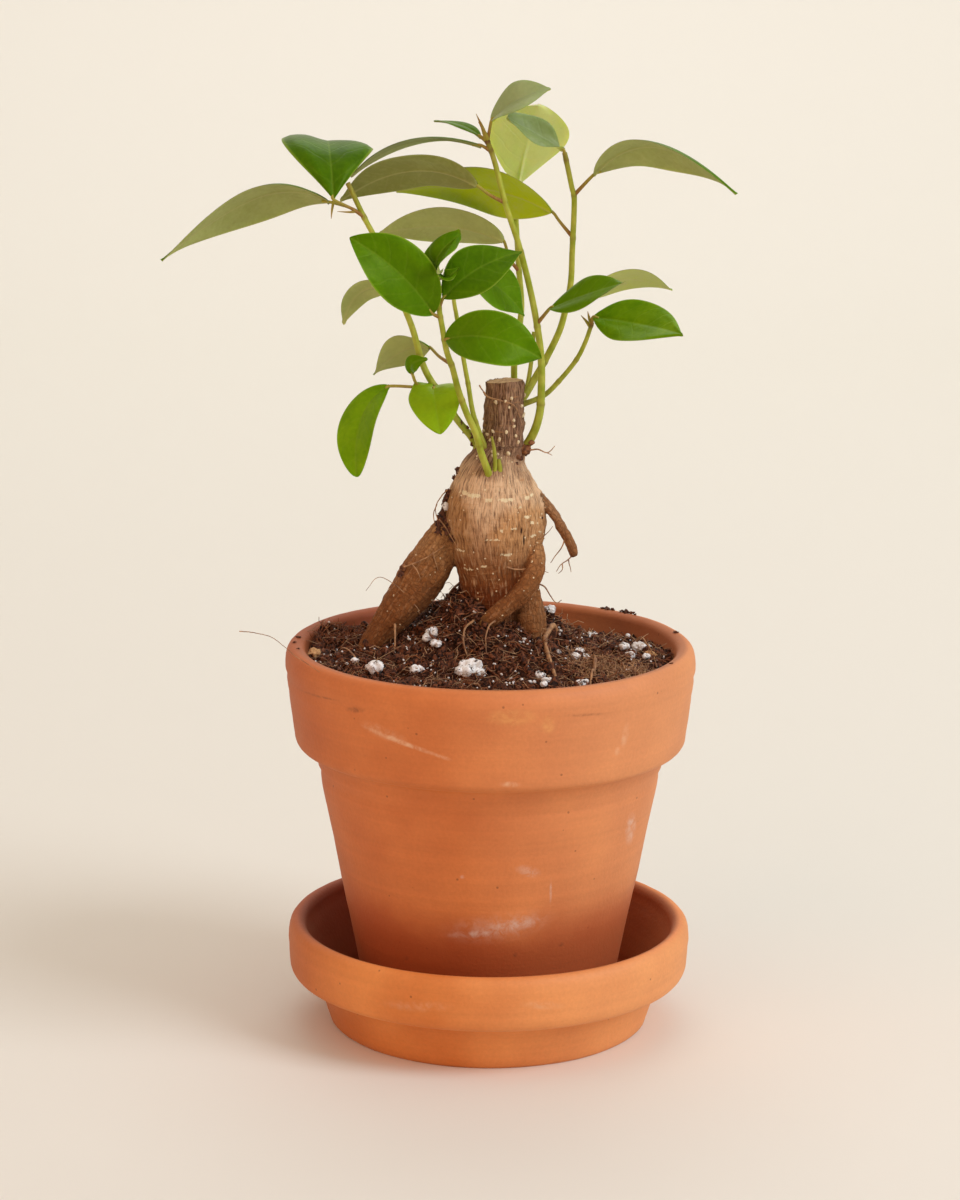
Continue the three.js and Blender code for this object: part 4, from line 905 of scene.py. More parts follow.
def round_body(tree, given, curves, sides, **scale):
    """A round body along each curve."""
    section = add(tree, "GeometryNodeCurvePrimitiveCircle",
                  {"Resolution": sides, "Radius": given["Radius"]})
    return add(tree, "GeometryNodeCurveToMesh",
               {"Curve": curves, "Profile Curve": section, "Fill Caps": True, **scale})


def scatter_tree():
    """Lumps strewn over a surface, each a dented ball, stretched and turned at random."""
    tree, given = new_tree("strewn_lumps", Density=1e5, Smallest=(1, 1, 1), Largest=(1, 1, 1), Sides=5,
                           Rings=3, Dent=0.5, Lift=0.0, Seed=1)
    ball = add(tree, "GeometryNodeMeshUVSphere",
               {"Radius": 1.0, "Segments": given["Sides"], "Rings": given["Rings"]})
    kinds = [pushed(tree, ball, given["Dent"], shift, Scale=1.1, Detail=2.0) for shift in (0.0, 7.3, 19.1)]
    spans = ((0, 0, 0), (FULL_TURN,) * 3), (given["Smallest"], given["Largest"])
    turn, size = [add(tree, "FunctionNodeRandomValue", {0: least, 1: most, "Seed": given["Seed"]},
                      data_type="FLOAT_VECTOR") for least, most in spans]
    return end_tree(tree, given, strewn(tree, given, kinds, turn, size, given["Lift"]))


def fibre_tree():
    """Short bent fibres strewn over a surface, lying nearly flat in every direction."""
    tree, given = new_tree("strewn_fibres", Density=1e5, Length=6 * MM, Radius=0.1 * MM, Bend=0.5, Rise=0.5,
                           Seed=1)
    line = add(tree, "GeometryNodeCurvePrimitiveLine", {"Start": (-0.5, 0, 0), "End": (0.5, 0, 0)})
    fine = add(tree, "GeometryNodeResampleCurve", {0: line, "Count": 6})
    kinds = [pushed(tree, fine, given["Bend"], shift, (0.5, 0.5, 0.45), Scale=1.6, Detail=1.0)
             for shift in (0.0, 3.1, 8.7, 15.3)]
    tilt = add(tree, "ShaderNodeCombineXYZ", {"X": given["Rise"], "Y": given["Rise"], "Z": FULL_TURN})
    back = add(tree, "ShaderNodeVectorMath", {0: tilt, "Scale": -1.0}, operation="SCALE")
    turn = add(tree, "FunctionNodeRandomValue", {0: back, 1: tilt, "Seed": given["Seed"]},
               data_type="FLOAT_VECTOR")
    share = add(tree, "FunctionNodeRandomValue", {2: 0.4, 3: 1.3, "Seed": given["Seed"]}, data_type="FLOAT")
    size = add(tree, "ShaderNodeMath", {0: share, 1: given["Length"]}, operation="MULTIPLY")
    real = add(tree, "GeometryNodeRealizeInstances", {0: strewn(tree, given, kinds, turn, size)})
    return end_tree(tree, given, round_body(tree, given, real, 3))


def thread_tree():
    """A fine root along each curve: it wanders a little and thins out to its tip."""
    tree, given = new_tree("tapered_threads", Radius=0.3 * MM, Wander=0.5 * MM, Pitch=3 * MM, Tip=0.35,
                           Sides=7, Seed=0.0)
    fine = add(tree, "GeometryNodeResampleCurve", {0: given["Geometry"], "Length": 0.5 * MM}, mode="LENGTH")
    rate = add(tree, "ShaderNodeMath", {0: 1.0, 1: given["Pitch"]}, operation="DIVIDE")
    loose = pushed(tree, fine, given["Wander"], given["Seed"], Scale=rate, Detail=2.0)
    along = add(tree, "GeometryNodeSplineParameter").outputs["Factor"]
    taper = add(tree, "ShaderNodeMapRange", {0: along, 3: 1.0, 4: given["Tip"]})
    return end_tree(tree, given, round_body(tree, given, loose, given["Sides"], Scale=taper))


def join(name, objects):
    """Several mesh objects as one piece; their materials are kept."""
    draft = bmesh.new()
    materials = []
    for obj in objects:
        slots = []
        for material_used in obj.data.materials:
            if material_used not in materials:
                materials.append(material_used)
            slots.append(materials.index(material_used))
        first = len(draft.faces)
        draft.from_mesh(obj.data)
        draft.faces.ensure_lookup_table()
        for face in draft.faces[first:]:
            face.material_index = slots[min(face.material_index, len(slots) - 1)]
        bpy.data.objects.remove(obj)
    mesh = poured(draft, bpy.data.meshes.new(name))
    for material_used in materials:
        mesh.materials.append(material_used)
    return place(name, mesh)


def curve_carrier(stations):
    """A smooth open curve through the stations, for the thread tree."""
    points, _ = smooth_curve(stations, 6)
    data = bpy.data.curves.new("route", "CURVE")
    data.dimensions = "3D"
    spline = data.splines.new("POLY")
    spline.points.add(len(points) - 1)
    spline.points.foreach_set("co", np.column_stack([points * MM, np.ones(len(points))]).ravel())
    return place("route", data)


# ---------------------------------------------------------------- pot and saucer

def outline(start, *stretches):
    """Points [radius, height] along lines and arcs, drawn fine."""
    points = [start]
    for stretch in stretches:
        begin, *corner, end = np.array(points[-1]), *np.atleast_2d(stretch)
        for t in np.linspace(0, 1, ARC_STEPS + 1)[1:] if corner else ():
            points.append(tuple((1 - t) ** 2 * begin + 2 * t * (1 - t) * corner[0] + t * t * end))
        if not corner:
            count = max(1, round(float(np.linalg.norm(end - begin)) / LINE_STEP))
            points += [tuple(begin + (end - begin) * i / count) for i in range(1, count + 1)]
    return points


def turned(name, points, grooves, clay):
    """Turns the outline round Z, a little out of true as hand-fettled clay is."""
    hole, wall, foot = 10, 33, 1  # the drain hole and the foot's plane stay true; grooves are on the wall
    grid = np.empty((len(points), CLAY_SIDES, 3))
    for i, (radius, height) in enumerate(points):
        cut = sum(depth * math.exp(-(((height - centre) / half_width) ** 2))
                  for centre, depth, half_width in grooves) if radius > wall else 0
        for j, angle in enumerate(around(CLAY_SIDES)):
            x, y = math.cos(angle), math.sin(angle)
            outside = Vector((radius * x, radius * y, height))
            slack = 0.22 * noise.noise(outside / 16) + 0.06 * noise.noise(outside / 3.5)
            reach = radius + (slack if radius > hole else 0) - cut
            grid[i, j] = reach * x, reach * y, height + (0.5 * slack if height > foot else 0)
    draft = Draft()
    draft.grid(grid, wrap=True)
    return close_up(draft.build(name, clay))


pot = turned("pot_terracotta", outline(*POT_OUTLINE), POT_GROOVES, pot_clay)
fit(pot, "pot_clay", "pot")
saucer = turned("saucer_terracotta", outline(*SAUCER_OUTLINE), SAUCER_GROOVES, saucer_clay)
fit(saucer, "saucer_clay", "saucer")


# ---------------------------------------------------------------- soil

def soil_height(x, y):
    """Height of the soil before its crumbs: a mound round the trunk, and heaps beside it."""
    height = SOIL_LEVEL
    for rise, at_x, at_y, spread in SOIL_RISES:
        height = height + rise * np.exp(-((x - at_x) ** 2 + (y - at_y) ** 2) / (2 * spread**2))
    return height


def clods(x, y):
    """Unevenness of the soil, from hollows a few millimetres wide down to crumbs."""
    lumpy = [height * noise.noise(Vector((x / size, y / size, layer)))
             for height, size, layer in ((1.8, 6.5, 0), (1.6, 2.9, 4), (0.7, 1.2, 9))]
    return sum(lumpy) - 2.3 * abs(noise.noise(Vector((x / 2.1, y / 2.1, 6))))


def on_soil(x, y, lift):
    """A point over the soil, hollows and all."""
    return x, y, float(soil_height(x, y)) + clods(x, y) + lift


radii = SOIL_RADIUS * (1 - np.arange(SOIL_RINGS) / SOIL_RINGS)
top = np.empty((SOIL_RINGS, SOIL_SIDES, 3))
top[..., 0] = radii[:, None] * np.cos(around(SOIL_SIDES))
top[..., 1] = radii[:, None] * np.sin(around(SOIL_SIDES))
top[..., 2] = soil_height(top[..., 0], top[..., 1])
top[..., 2] += [[clods(x, y) for x, y, _ in row] for row in top]
# The wall follows the pot's inner side down to its floor
wall = np.stack([top[0], top[0] * (0.85, 0.85, 0) + (0, 0, 74), top[0] * (0.57, 0.57, 0) + (0, 0, 14)])
draft = Draft()
draft.grid(np.concatenate([wall[::-1], top[1:]]), wrap=True, caps=True)
fit(close_up(draft.build("soil_bed", peat)), "soil", "soil")


def soil_carrier(centre=None, reach=None):
    """The soil's top alone, or a round patch of it, for the trees that strew over it."""
    sheet = Draft()
    sheet.grid(top[2:], wrap=True)
    if centre:
        middle = np.concatenate(sheet.points)[np.array(sheet.faces)].mean(1)[:, :2]
        near = np.linalg.norm((middle - centre) / reach, axis=1) < 1
        sheet.faces = [face for face, kept in zip(sheet.faces, near) if kept]
        sheet.finishes = [0] * len(sheet.faces)
    return sheet.build("soil_top")


strew, strew_fibres, thread = scatter_tree(), fibre_tree(), thread_tree()
PER_SQUARE_CM = 1e4  # pieces a square metre, at one a square centimetre


def lumps(name, density, smallest, largest, stuff, sides=5, dent=0.9, lift=0.0, seed=1, carrier=None):
    """Strewn lumps: their density in pieces a square centimetre, the smallest and largest radii in
    mm, the sides of each, how rough they are, how high they lie in mm, and the seed."""
    return run_tree(strew, carrier or soil_carrier(), name, Density=density * PER_SQUARE_CM,
                    Smallest=Vector(smallest) * MM, Largest=Vector(largest) * MM, Sides=sides,
                    Rings=sides // 2 + 1, Dent=dent, Lift=lift * MM, Seed=seed, Material=stuff)


def fibres(name, density, length, radius, stuff, bend, rise=0.45, seed=1, carrier=None):
    """Strewn fibres: their density, length and radius in mm, how crooked they are, and how steep."""
    return run_tree(strew_fibres, carrier or soil_carrier(), name, Density=density * PER_SQUARE_CM,
                    Length=length * MM, Radius=radius * MM, Bend=bend, Rise=rise, Seed=seed, Material=stuff)


def rough_lump(where, radius, seed, stuff, stretch=(1, 1, 1), rounds=3, knob=0.3, pit=0.5):
    """A small lump with knobs and pits, its middle at where, in mm."""
    lump = bmesh.new()
    bmesh.ops.create_icosphere(lump, subdivisions=rounds, radius=radius)
    shift = Vector((seed * 5.1, seed * 2.3, 0))
    for point in lump.verts:
        at = point.co / radius * 1.4 + shift
        grown = 1 + knob * noise.noise(at) + 0.5 * knob * noise.noise(at * 2.7)
        point.co *= grown - pit * max(0, noise.noise(at * 1.9 + shift) - 0.18)
    turn = Matrix.Rotation(1.3 * seed, 4, "Z") @ Matrix.Rotation(0.4 * math.sin(seed), 4, "X")
    lump.transform(Matrix.Scale(MM, 4) @ Matrix.Translation(where) @ turn @ Matrix.Diagonal((*stretch, 1)))
    mesh = poured(lump, bpy.data.meshes.new("rough_lump"))
    mesh.materials.append(stuff)
    mesh.polygons.foreach_set("use_smooth", [True] * len(mesh.polygons))
    return place("rough_lump", mesh)


BURST_FROM = 0.95  # grains smaller than this radius are whole
LOBE_SHARES = (0.88, 0.7, 0.56)  # the size of each lobe of a burst grain


def burst_grain(x, y, radius, seed):
    """Expanded perlite: a grain burst into lobes that lean on each other, half sunk in the mix."""
    middle = on_soil(x, y, 0.5 + 0.5 * radius)
    if radius < BURST_FROM:
        return [rough_lump(middle, radius, seed, perlite_glass, (1, 0.8, 0.7), 2)]
    made = []
    for k, share in enumerate(LOBE_SHARES):
        way = 2.1 * k + seed
        spot = (middle[0] + 0.42 * radius * math.cos(way), middle[1] + 0.36 * radius * math.sin(way),
                middle[2] + 0.15 * radius * math.sin(3 * way))
        made.append(rough_lump(spot, radius * share, seed + 0.37 * k, perlite_glass, (1.1, 0.95, 0.85), 3,
                               0.4, 0.7))
    return made


def threads(name, routes, stuff):
    """Fine roots along routes in mm."""
    made = []
    for i, (radius, route) in enumerate(routes):
        made.append(run_tree(thread, curve_carrier(route), f"{name}_{i}", Radius=radius * MM, Pitch=3 * MM,
                             Wander=0.6 * MM, Tip=0.4, Seed=1.7 * i, Material=stuff))
    return join(name, made)


laid_roots = [(radius, [on_soil(*station) for station in route]) for radius, route in SOIL_ROOTS]
for piece, slot_name in (
    (lumps("soil_clods", 2.6, (1.3, 1.0, 0.8), (3.2, 2.2, 1.6), peat_crumb, 8, 1.5, -0.6, 21), "soil"),
    (lumps("soil_crumbs_fine", 66, (0.25, 0.2, 0.15), (0.85, 0.65, 0.45), peat_crumb, 5, 1.3, 0.0, 3),
     "soil"),
    (lumps("soil_crumbs_coarse", 13, (0.6, 0.45, 0.35), (1.9, 1.3, 1.0), peat_crumb, 7, 1.5, 0.0, 8),
     "soil"),
    (lumps("perlite_fine", 8, (0.15, 0.15, 0.12), (0.5, 0.42, 0.34), perlite_glass, 6, 0.9, 0.4, 5),
     "soil"),
    (fibres("coir_fibres", 13, 6, 0.11, coir, 0.9, seed=2), "soil"),
    (fibres("root_hairs", 8, 8, 0.09, pale_hair, 1.1, 0.6, 11), "soil"),
    (fibres("bark_slivers", 5, 3.6, 0.32, bark_sliver, 0.5, 0.8, 6), "soil"),
    (join("matted_hairs", [
        fibres("hairs_right", 190, 4.4, 0.11, grey_hair, 1.2, 0.6, 12, soil_carrier((31, -17), (12, 14))),
        fibres("hairs_left", 70, 5, 0.09, coir, 1.2, 0.8, 13, soil_carrier((-41, 12), (8, 11))),
    ]), "soil"),
    (join("perlite_grains", [
        lobe for i, spot in enumerate(PERLITE) for lobe in burst_grain(*spot, i + 1)
    ]), "soil"),
    (join("bark_chips", [
        rough_lump((-46.6, -6, 102.7), 2.8, 1, bark_flake, (1.1, 0.5, 0.25), 3, 0.9, 0.8),
        rough_lump(on_soil(-14.3, -26, 0.5), 1.9, 2, bark_flake, (1.0, 0.6, 0.3)),
        rough_lump(on_soil(41, -4, 0.8), 2.3, 3, bark_flake, (1.2, 0.35, 0.35)),
        rough_lump(on_soil(42.6, 1, 1.2), 1.9, 4, bark_flake, (0.35, 1.1, 0.5)),
        rough_lump(on_soil(-24.4, -13, 0.6), 1.6, 5, bark_flake, (0.4, 1.3, 0.35)),
    ]), "soil"),
    (threads("fine_roots", ROOT_THREADS + laid_roots, fine_root), "bark"),
    (join("rim_crumbs", [
        rough_lump((x, y, POT_TOP + 0.35 * r), r * 1.2, i, clinging_peat, (1.3, 0.9, 0.5), 3, 1.3, 1.4)
        for i, (x, y, r) in enumerate(RIM_CRUMBS)
    ]), "soil"),
):
    fit(piece, slot_name)


# ---------------------------------------------------------------- trunk

STUB_FROM = 158  # from this height on the trunk is the sawn stub
STUB_GRAIN_RADIUS = 6  # the grain is laid on an even tube, so that its cracks run on over the shoulder
LOOKS_UP = 0.75  # a face whose normal has more than this upwards
BARK_VOXEL = 0.36  # how finely the limbs are melted into one skin


def knots(share):
    """Uneven thickness of a root, as the CAD trunk has it."""
    def swell(along, angle):
        t = along / along[-1]
        return share * np.sin(3 * angle + 5 * t) + 0.6 * share * np.sin(5 * angle - 9 * t)
    return swell


draft = Draft()
for name, stations in LIMBS.items():
    sides, share = (72, 0.018) if name == "bulb" else (40, 0.05)
    draft.grid(tube(stations, sides, 8, knots(share))[0], wrap=True, caps=True)
raw = draft.build("raw_trunk")
remesh = raw.modifiers.new("one_skin", "REMESH")
remesh.mode, remesh.voxel_size = "VOXEL", BARK_VOXEL * MM
settle = raw.modifiers.new("settle", "SMOOTH")
settle.factor, settle.iterations = 0.5, 10
trunk = plain(raw, "trunk_bark")


def read(field):
    """The trunk's points or normals."""
    values = np.empty(len(trunk.data.vertices) * 3)
    trunk.data.vertices.foreach_get(field, values)
    return values.reshape(-1, 3)


# For each point the grain: its place across and along the limb that it is nearest to
points, normals = read("co") / MM, read("normal")
every = np.arange(len(points))
nearest = np.full(len(points), np.inf)
grain = np.zeros((len(points), 3))
on_stub = points[:, 2] > STUB_FROM
for k, stations in enumerate(LIMBS.values()):
    curve, slopes = smooth_curve(stations, 4)
    headings, sides, overs = frames(slopes[:, :3])
    away = points[:, None] - curve[None, :, :3]
    distance = np.linalg.norm(away, axis=2) / curve[None, :, 3]
    ring = distance.argmin(1)
    share, arm = distance[every, ring], away[every, ring]
    across = np.stack([(arm * sides[ring]).sum(1), (arm * overs[ring]).sum(1)], 1)
    reach = np.where(on_stub, STUB_GRAIN_RADIUS, curve[:, 3].mean())
    across *= (reach / np.maximum(1, np.linalg.norm(across, axis=1)))[:, None]
    along = way_along(curve[:, :3])[ring] + (arm * headings[ring]).sum(1) + LIMB_GAP * k
    closer = share < nearest
    nearest[closer] = share[closer]
    grain[closer] = np.column_stack([across, along])[closer]


def stretched_noise(own, across, along):
    """Noise on the grain, whose grains are so many mm across and along it."""
    return noise.noise(Vector((own[0] / across, own[1] / across, own[2] / along)))


def bark_relief(at, own, stub):
    """How far the bark stands out, in mm: soft lumps, cross wrinkles and lengthwise ridges."""
    lump = 0.45 * noise.noise(Vector(at) / 7) + 0.2 * noise.noise(Vector(at) / 2.2)
    wrinkle = 0.2 * stretched_noise(own, 7, 1.7)
    ridge = (0.24 if own[2] < LIMB_GAP else 0.12) * stretched_noise(own, 0.95, 6)
    if stub:
        ridge = 1.5 * (ridge - 0.3 * abs(stretched_noise(own, 1.4, 12)))
    return lump + wrinkle + ridge


relief = np.array([bark_relief(*each) for each in zip(points, grain, on_stub)])
# The saw cut is smoother, and slopes a little
sawn_point = (points[:, 2] > SAWN_FROM) & (normals[:, 2] > LOOKS_UP)
relief[sawn_point] *= 0.5
moved = points + normals * relief[:, None]
moved[sawn_point, 2] += 0.09 * (moved[sawn_point, 0] - 3) - 0.05 * moved[sawn_point, 1]
trunk.data.vertices.foreach_set("co", (moved * MM).ravel())

scar = np.zeros(len(points))
for x, z, half_length, half_height, tone in ROOT_SCARS:
    off = np.hypot((points[:, 0] - x) / half_length, (points[:, 2] - z) / half_height)
    scar += tone * np.clip(1.45 - off, 0, 1) * (points[:, 1] < 0)
store(trunk.data, "grain", "FLOAT_VECTOR", "vector", grain)
store(trunk.data, "scar", "FLOAT", "value", scar)
trunk.data.materials.append(bulb_bark)
trunk.data.materials.append(sawn_wood)
for face in trunk.data.polygons:
    face.use_smooth = True
    face.material_index = int(face.center.z > SAWN_FROM * MM and face.normal.z > LOOKS_UP)
trunk.data.update()
fit(trunk, "bark", "trunk")


def trunk_patch(low, high, left=-99, right=99):
    """The bark between two heights and two sides, for the lenticels to sit on."""
    patch = place("trunk_patch", trunk.data.copy())
    draft = bmesh.new()
    draft.from_mesh(patch.data)
    middles = [(face, face.calc_center_median() / MM) for face in draft.faces]
    gone = [face for face, middle in middles if not (low < middle.z < high and left < middle.x < right)]
    bmesh.ops.delete(draft, geom=gone, context="FACES")
    poured(draft, patch.data)
    return patch


def stem_stations(stem):
    """The stem's route, thinning evenly."""
    return with_radii(stem["route"], np.linspace(*stem["radii"], len(stem["route"])))


stem_points = [tube(stem_stations(stem), 12, 12)[0].reshape(-1, 3) for stem in LEAFY_STEMS.values()]
bark_points = np.concatenate([moved, *stem_points])


def on_bark(x, y, z, radius):
    """The place at which a lump near a point rests on the trunk or on a stem."""
    nearest_point = bark_points[np.linalg.norm(bark_points - (x, y, z), axis=1).argmin()]
    outwards = np.array((x, y, z)) - nearest_point
    return tuple(nearest_point + outwards * min(1, 0.35 * radius / max(0.01, np.linalg.norm(outwards))))


fit(join("lenticels", [
    lumps("stub_lenticels", 7, (0.36, 0.34, 0.24), (0.8, 0.72, 0.5), cork, 8, 0.35, 0.0, 4,
          trunk_patch(156, 172)),
    lumps("bulb_lenticels", 2.2, (0.16, 0.16, 0.12), (0.36, 0.36, 0.24), cork, 6, 0.6, 0.0, 9,
          trunk_patch(108, 156)),
    lumps("side_lenticels", 12, (0.2, 0.2, 0.16), (0.5, 0.4, 0.3), cork, 6, 0.8, 0.0, 14,
          trunk_patch(124, 142, 10, 13.8)),
]), "bark")
# Clinging mix, one perlite grain and the knots, each sunk a little in the nearest bark
fit(join("clinging_mix", [
    rough_lump(on_bark(*spot), spot[3] * 1.1, i, clinging_peat, (1, 0.9, 1.2), 3, 1.1, 1.2)
    for i, spot in enumerate(CLINGING_MIX)
]), "soil")
fit(join("clinging_perlite", [
    rough_lump(on_bark(-14.2, -4.5, 142, 1.2), 1.05, 4.4, perlite_glass),
]), "soil")
fit(join("bark_knots", [
    rough_lump(on_bark(-24.2, -5.4, 126, 1.1), 1.15, 2, callus, (1, 0.9, 0.9)),
    rough_lump(on_bark(8.6, -2.2, 157, 1.4), 1.35, 7, callus, (1.1, 0.9, 1.2)),
    rough_lump(on_bark(10.3, -2.6, 158.9, 0.9), 0.85, 8, callus, (1.2, 0.9, 0.8)),
    rough_lump(on_bark(6.6, -4.2, 155.4, 0.9), 0.8, 9, callus, (1.2, 0.9, 0.8)),
]), "bark")


# ---------------------------------------------------------------- leafy stems

SKINS = [stem_bark, petiole_bark, leaf_upper, leaf_under, leaf_young, leaf_bloom]
GREEN, STALK, UPPER_SKIN, UNDER_SKIN, PAINTED_BACKLIGHT_SKIN, PAINTED_SHEEN_SKIN = range(6)
BLADE_ROWS, BLADE_COLUMNS = 44, 25
BLADE_THICKNESS = 0.45
DRIP_TIP = 0.55  # half-width of the narrow tip
SIDE_VEIN_SLANT = 0.62  # how far side veins run on towards the tip, as a share of their way out
NODE_ROOM = 5  # how far apart the nodes of a stem are at least


def blade(draft, leaf, seed):
    """One leaf: two skins a little apart, a groove over the midrib and a rib under it."""
    base, mid, tip, facing = (np.array(leaf[k], float) for k in ("base", "mid", "tip", "facing"))
    width, fold, lobes = leaf["width"], math.radians(leaf["fold"]), leaf["lobes"]
    bend = 2 * mid - (base + tip) / 2
    # Rows stand closer by both ends, columns by the midrib and by the edge
    row = np.linspace(0, 1, BLADE_ROWS)[:, None]
    t = 0.55 * row + 0.225 * (1 - np.cos(np.pi * row))
    u = np.linspace(-1, 1, BLADE_COLUMNS)
    s = (0.55 * u + 0.45 * u**3)[None]
    s = s / np.abs(s).max()
    rib_line = (1 - t) ** 2 * base + 2 * t * (1 - t) * bend + t * t * tip
    heading = unit(2 * (1 - t) * (bend - base) + 2 * t * (tip - bend))
    across = unit(np.cross(heading, facing))
    up = np.cross(across, heading)
    # The outline: its widest place, blunt or pointed ends, uneven sides, lobes and the drip tip
    swell = np.minimum(np.pi * t ** (math.log(0.5) / math.log(leaf["widest"])), np.pi)
    uneven = 1 + 0.025 * np.sin(9 * t + seed)
    drip_tip = DRIP_TIP * np.sqrt(np.clip(1 - ((t - 0.93) / 0.07) ** 2, 0, 1)) * (t > 0.8)
    taper = 0.72 + leaf["point"] * t * t - 0.42 * lobes * (1 - t) ** 2
    half = width * uneven * np.sin(swell) ** taper / 2
    half = np.maximum(np.maximum(0.3 * (t < 0.5), half), drip_tip + 0.05)
    way = s * half
    # The lift over the midrib's plane: fold, waves and droop
    arch = np.sqrt(s**2 + 0.012) - 0.11
    waves = leaf["wave"] * s**2 * np.sin(2.2 * np.pi * t + 1.9 * s + width)
    folds = np.array([[noise.noise(Vector((3.2 * a, 2.1 * b, seed))) for b in s[0]] for a in t[:, 0]])
    lift = arch * half * math.sin(fold) + waves
    lift = lift + 0.3 * folds * half / 8 - leaf["droop"] * half * np.abs(s) ** 4
    groove = np.exp(-((way / 0.4) ** 2)) * (1 - t)
    thick = BLADE_THICKNESS * np.sqrt(np.clip(1.02 - np.abs(s) ** 6, 0, 1)) / 2
    phase = np.linalg.norm(tip - base) * t - SIDE_VEIN_SLANT * np.abs(way) - 0.25 * way**2 / half
    # Some leaves get a painted grey sheen on their upper skin; one is painted pale on both skins as if
    # backlit
    for side, rib, skin in ((1, -0.22 * groove, PAINTED_SHEEN_SKIN if leaf["bloom"] else UPPER_SKIN),
                            (-1, -0.55 * groove * (1.1 - t), UNDER_SKIN)):
        height = lift + side * thick + rib
        points = rib_line[:, None] + (way * math.cos(fold))[..., None] * across[:, None]
        points = points + height[..., None] * up[:, None]
        points = points - (2.4 * lobes * np.abs(s) * (1 - t) ** 4)[..., None] * heading[:, None]
        draft.grid(points, flip=side < 0, finish=PAINTED_BACKLIGHT_SKIN if leaf["young"] else skin, way=way / 10,
                   phase=phase / 10, tone=leaf["tone"], edge=np.abs(s) + 0 * t)


def limb(draft, stations, sides, per_span, skin, age_along, swell=None):
    """A round limb of a stem; age_along gives its age from the way along it."""
    rings, along = tube(stations, sides, per_span, swell)
    draft.grid(rings, wrap=True, caps=True, finish=skin, age=age_along(along))


def petiole(draft, leaf):
    """The leaf's stalk, a little thicker at both ends, redder towards the stem."""
    base, mid = np.array(leaf["base"], float), np.array(leaf["mid"], float)
    route = [*leaf["stalk"], leaf["base"], tuple(base + 0.12 * (mid - base))]
    radii = np.interp(np.linspace(0, 1, len(route)), [0, 0.3, 0.8, 1], [0.55, 0.42, 0.4, 0.34])
    limb(draft, with_radii(route, radii), 12, 8, STALK,
         lambda along: np.clip(0.9 - 0.8 * along / along.max(), 0, 1))


def stem_swell(nodes):
    """A slight collar at the foot, and a low ring at each node."""
    def hump(off, spread):
        return np.exp(-((off / spread) ** 2))

    def swell(along, angle):
        collar = 0.4 * np.exp(-along / 1.8)
        rings = sum(0.13 * hump(along - n, 0.6) - 0.04 * hump(along - n - 0.8, 0.3) for n in nodes)
        return collar + rings + 0.03 * np.sin(5 * angle + 0.12 * along)
    return swell


def leafy_stem(name, stem, number):
    """A stem with its leaves, shoots and buds as one piece."""
    draft = Draft("way", "phase", "tone", "edge", "age")
    curve, _ = smooth_curve(stem["route"], 10)
    travelled = way_along(curve)
    # A node at each leaf, and others where there is room
    feet = [leaf["stalk"][0] for leaf in stem["leaves"]]
    nodes = [travelled[np.linalg.norm(curve - foot, axis=1).argmin()] for foot in feet]
    spare = [travelled[-1] * share for share in (0.2, 0.42, 0.66)]
    nodes += [n for n in spare if min(abs(n - other) for other in nodes) > NODE_ROOM]

    def stem_age(along):
        """Corky by the foot and at the nodes, and brown at the tip."""
        at_node = sum(np.exp(-(((along - n) / 0.5) ** 2)) for n in nodes)
        share = along / travelled[-1]
        return np.clip(stem.get("foot_age", 0.3) * np.exp(-along / 5) + 0.35 * at_node
                       + 0.6 * np.clip(share - 0.88, 0, 1) / 0.12, 0, 1)

    limb(draft, stem_stations(stem), 24, 14, GREEN, stem_age, stem_swell(nodes))
    for shoot in stem.get("shoots", []):
        limb(draft, shoot, 14, 8, GREEN, lambda along: 0.35 * along / along.max())
    for i, leaf in enumerate(stem["leaves"]):
        petiole(draft, leaf)
        blade(draft, leaf, 3.7 * i + number)
    for bud in stem.get("buds", []):
        limb(draft, bud, 10, 6, STALK, lambda along: 0.2 + 0.5 * along / along.max())
    obj = draft.build(name + "_leafy", *SKINS)
    corners = np.empty(len(obj.data.loops), int)
    obj.data.loops.foreach_get("vertex_index", corners)
    flat = np.stack([np.concatenate(draft.values[key]) for key in ("way", "phase")], 1)
    uv = obj.data.uv_layers.new(name="UVMap")
    uv.data.foreach_set("uv", flat[corners].astype(np.float32).ravel())
    fit(obj, "leaf", name)


for number, (name, stem) in enumerate(LEAFY_STEMS.items()):
    leafy_stem(name, stem, number)


# ---------------------------------------------------------------- camera, floor and light

scene = bpy.context.scene
scene.view_settings.view_transform = "Standard"

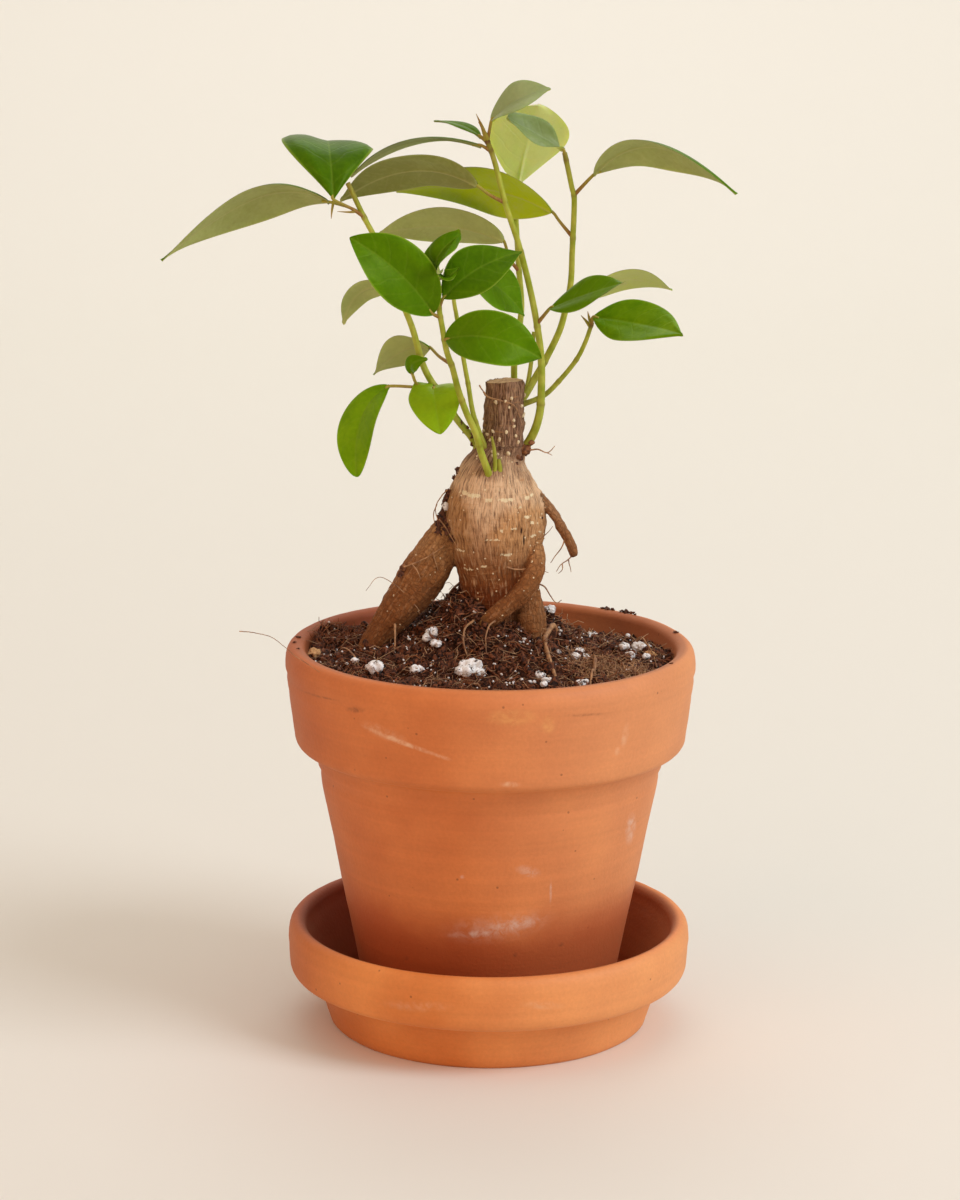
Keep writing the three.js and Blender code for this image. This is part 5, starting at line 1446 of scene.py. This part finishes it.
LOOKS_DOWN, ROLL = math.radians(12.79), math.radians(0.46)
camera = place("camera", bpy.data.cameras.new("camera"))
camera.data.lens = 103  # a long lens: upright edges hardly lean in the photo
camera.location = (-0.00298, -0.8903, 0.318)
turn = Matrix.Rotation(math.pi / 2 - LOOKS_DOWN, 3, "X") @ Matrix.Rotation(ROLL, 3, "Z")
camera.rotation_euler = turn.to_euler()
camera.data.clip_start, camera.data.clip_end = 0.05, 20
scene.camera = camera

# Cream paper that runs up behind the plant in one sweep; y and z in metres
FRONT_END, BEND_FROM, BEND_RADIUS, TOP_END, HALF_WIDTH = -5, 1.2, 0.8, 3.0, 3.0
bend = [(BEND_FROM + BEND_RADIUS * math.sin(a), BEND_RADIUS * (1 - math.cos(a)))
        for a in np.linspace(0.15, math.pi / 2, 12)]
sweep = [(FRONT_END, 0), (BEND_FROM, 0), *bend, (BEND_FROM + BEND_RADIUS, TOP_END)]
sheet = Draft()
sheet.grid(np.array([[(x, y, z) for x in (-HALF_WIDTH, HALF_WIDTH)] for y, z in sweep]) / MM, flip=True)
paper, paper_tree = material("cream_paper")
finish(paper_tree, linear("eae5d8"), Roughness=0.75, Specular_IOR_Level=0.2)
sheet.build("backdrop", paper)


def softbox(name, where, aim, size, power, colour):
    """A square of soft light that looks at a point."""
    light = bpy.data.lights.new(name, "AREA")
    light.size, light.energy, light.color = size, power, linear(colour)[:3]
    lamp = place(name, light)
    lamp.location = where
    lamp.rotation_euler = (Vector(aim) - Vector(where)).to_track_quat("-Z", "Y").to_euler()


# A window on the right, warm light off a wall on the left, and a lamp on the paper
softbox("key_light", (1.32, -0.7, 1.2), (0, 0, 0.1), 0.85, 19.2, "e8f1ff")
softbox("fill_light", (-1.2, -1.4, 1.0), (0, 0, 0.1), 1.6, 7.5, "ffa468")
softbox("backdrop_light", (0, 1.3, 1.7), (0, 2.0, 0), 1.4, 12, "f0f6ff")
world = bpy.data.worlds.new("studio")
world.use_nodes = True
world.node_tree.nodes["Background"].inputs["Color"].default_value = linear("f3ece4")
world.node_tree.nodes["Background"].inputs["Strength"].default_value = 0.655
scene.world = world
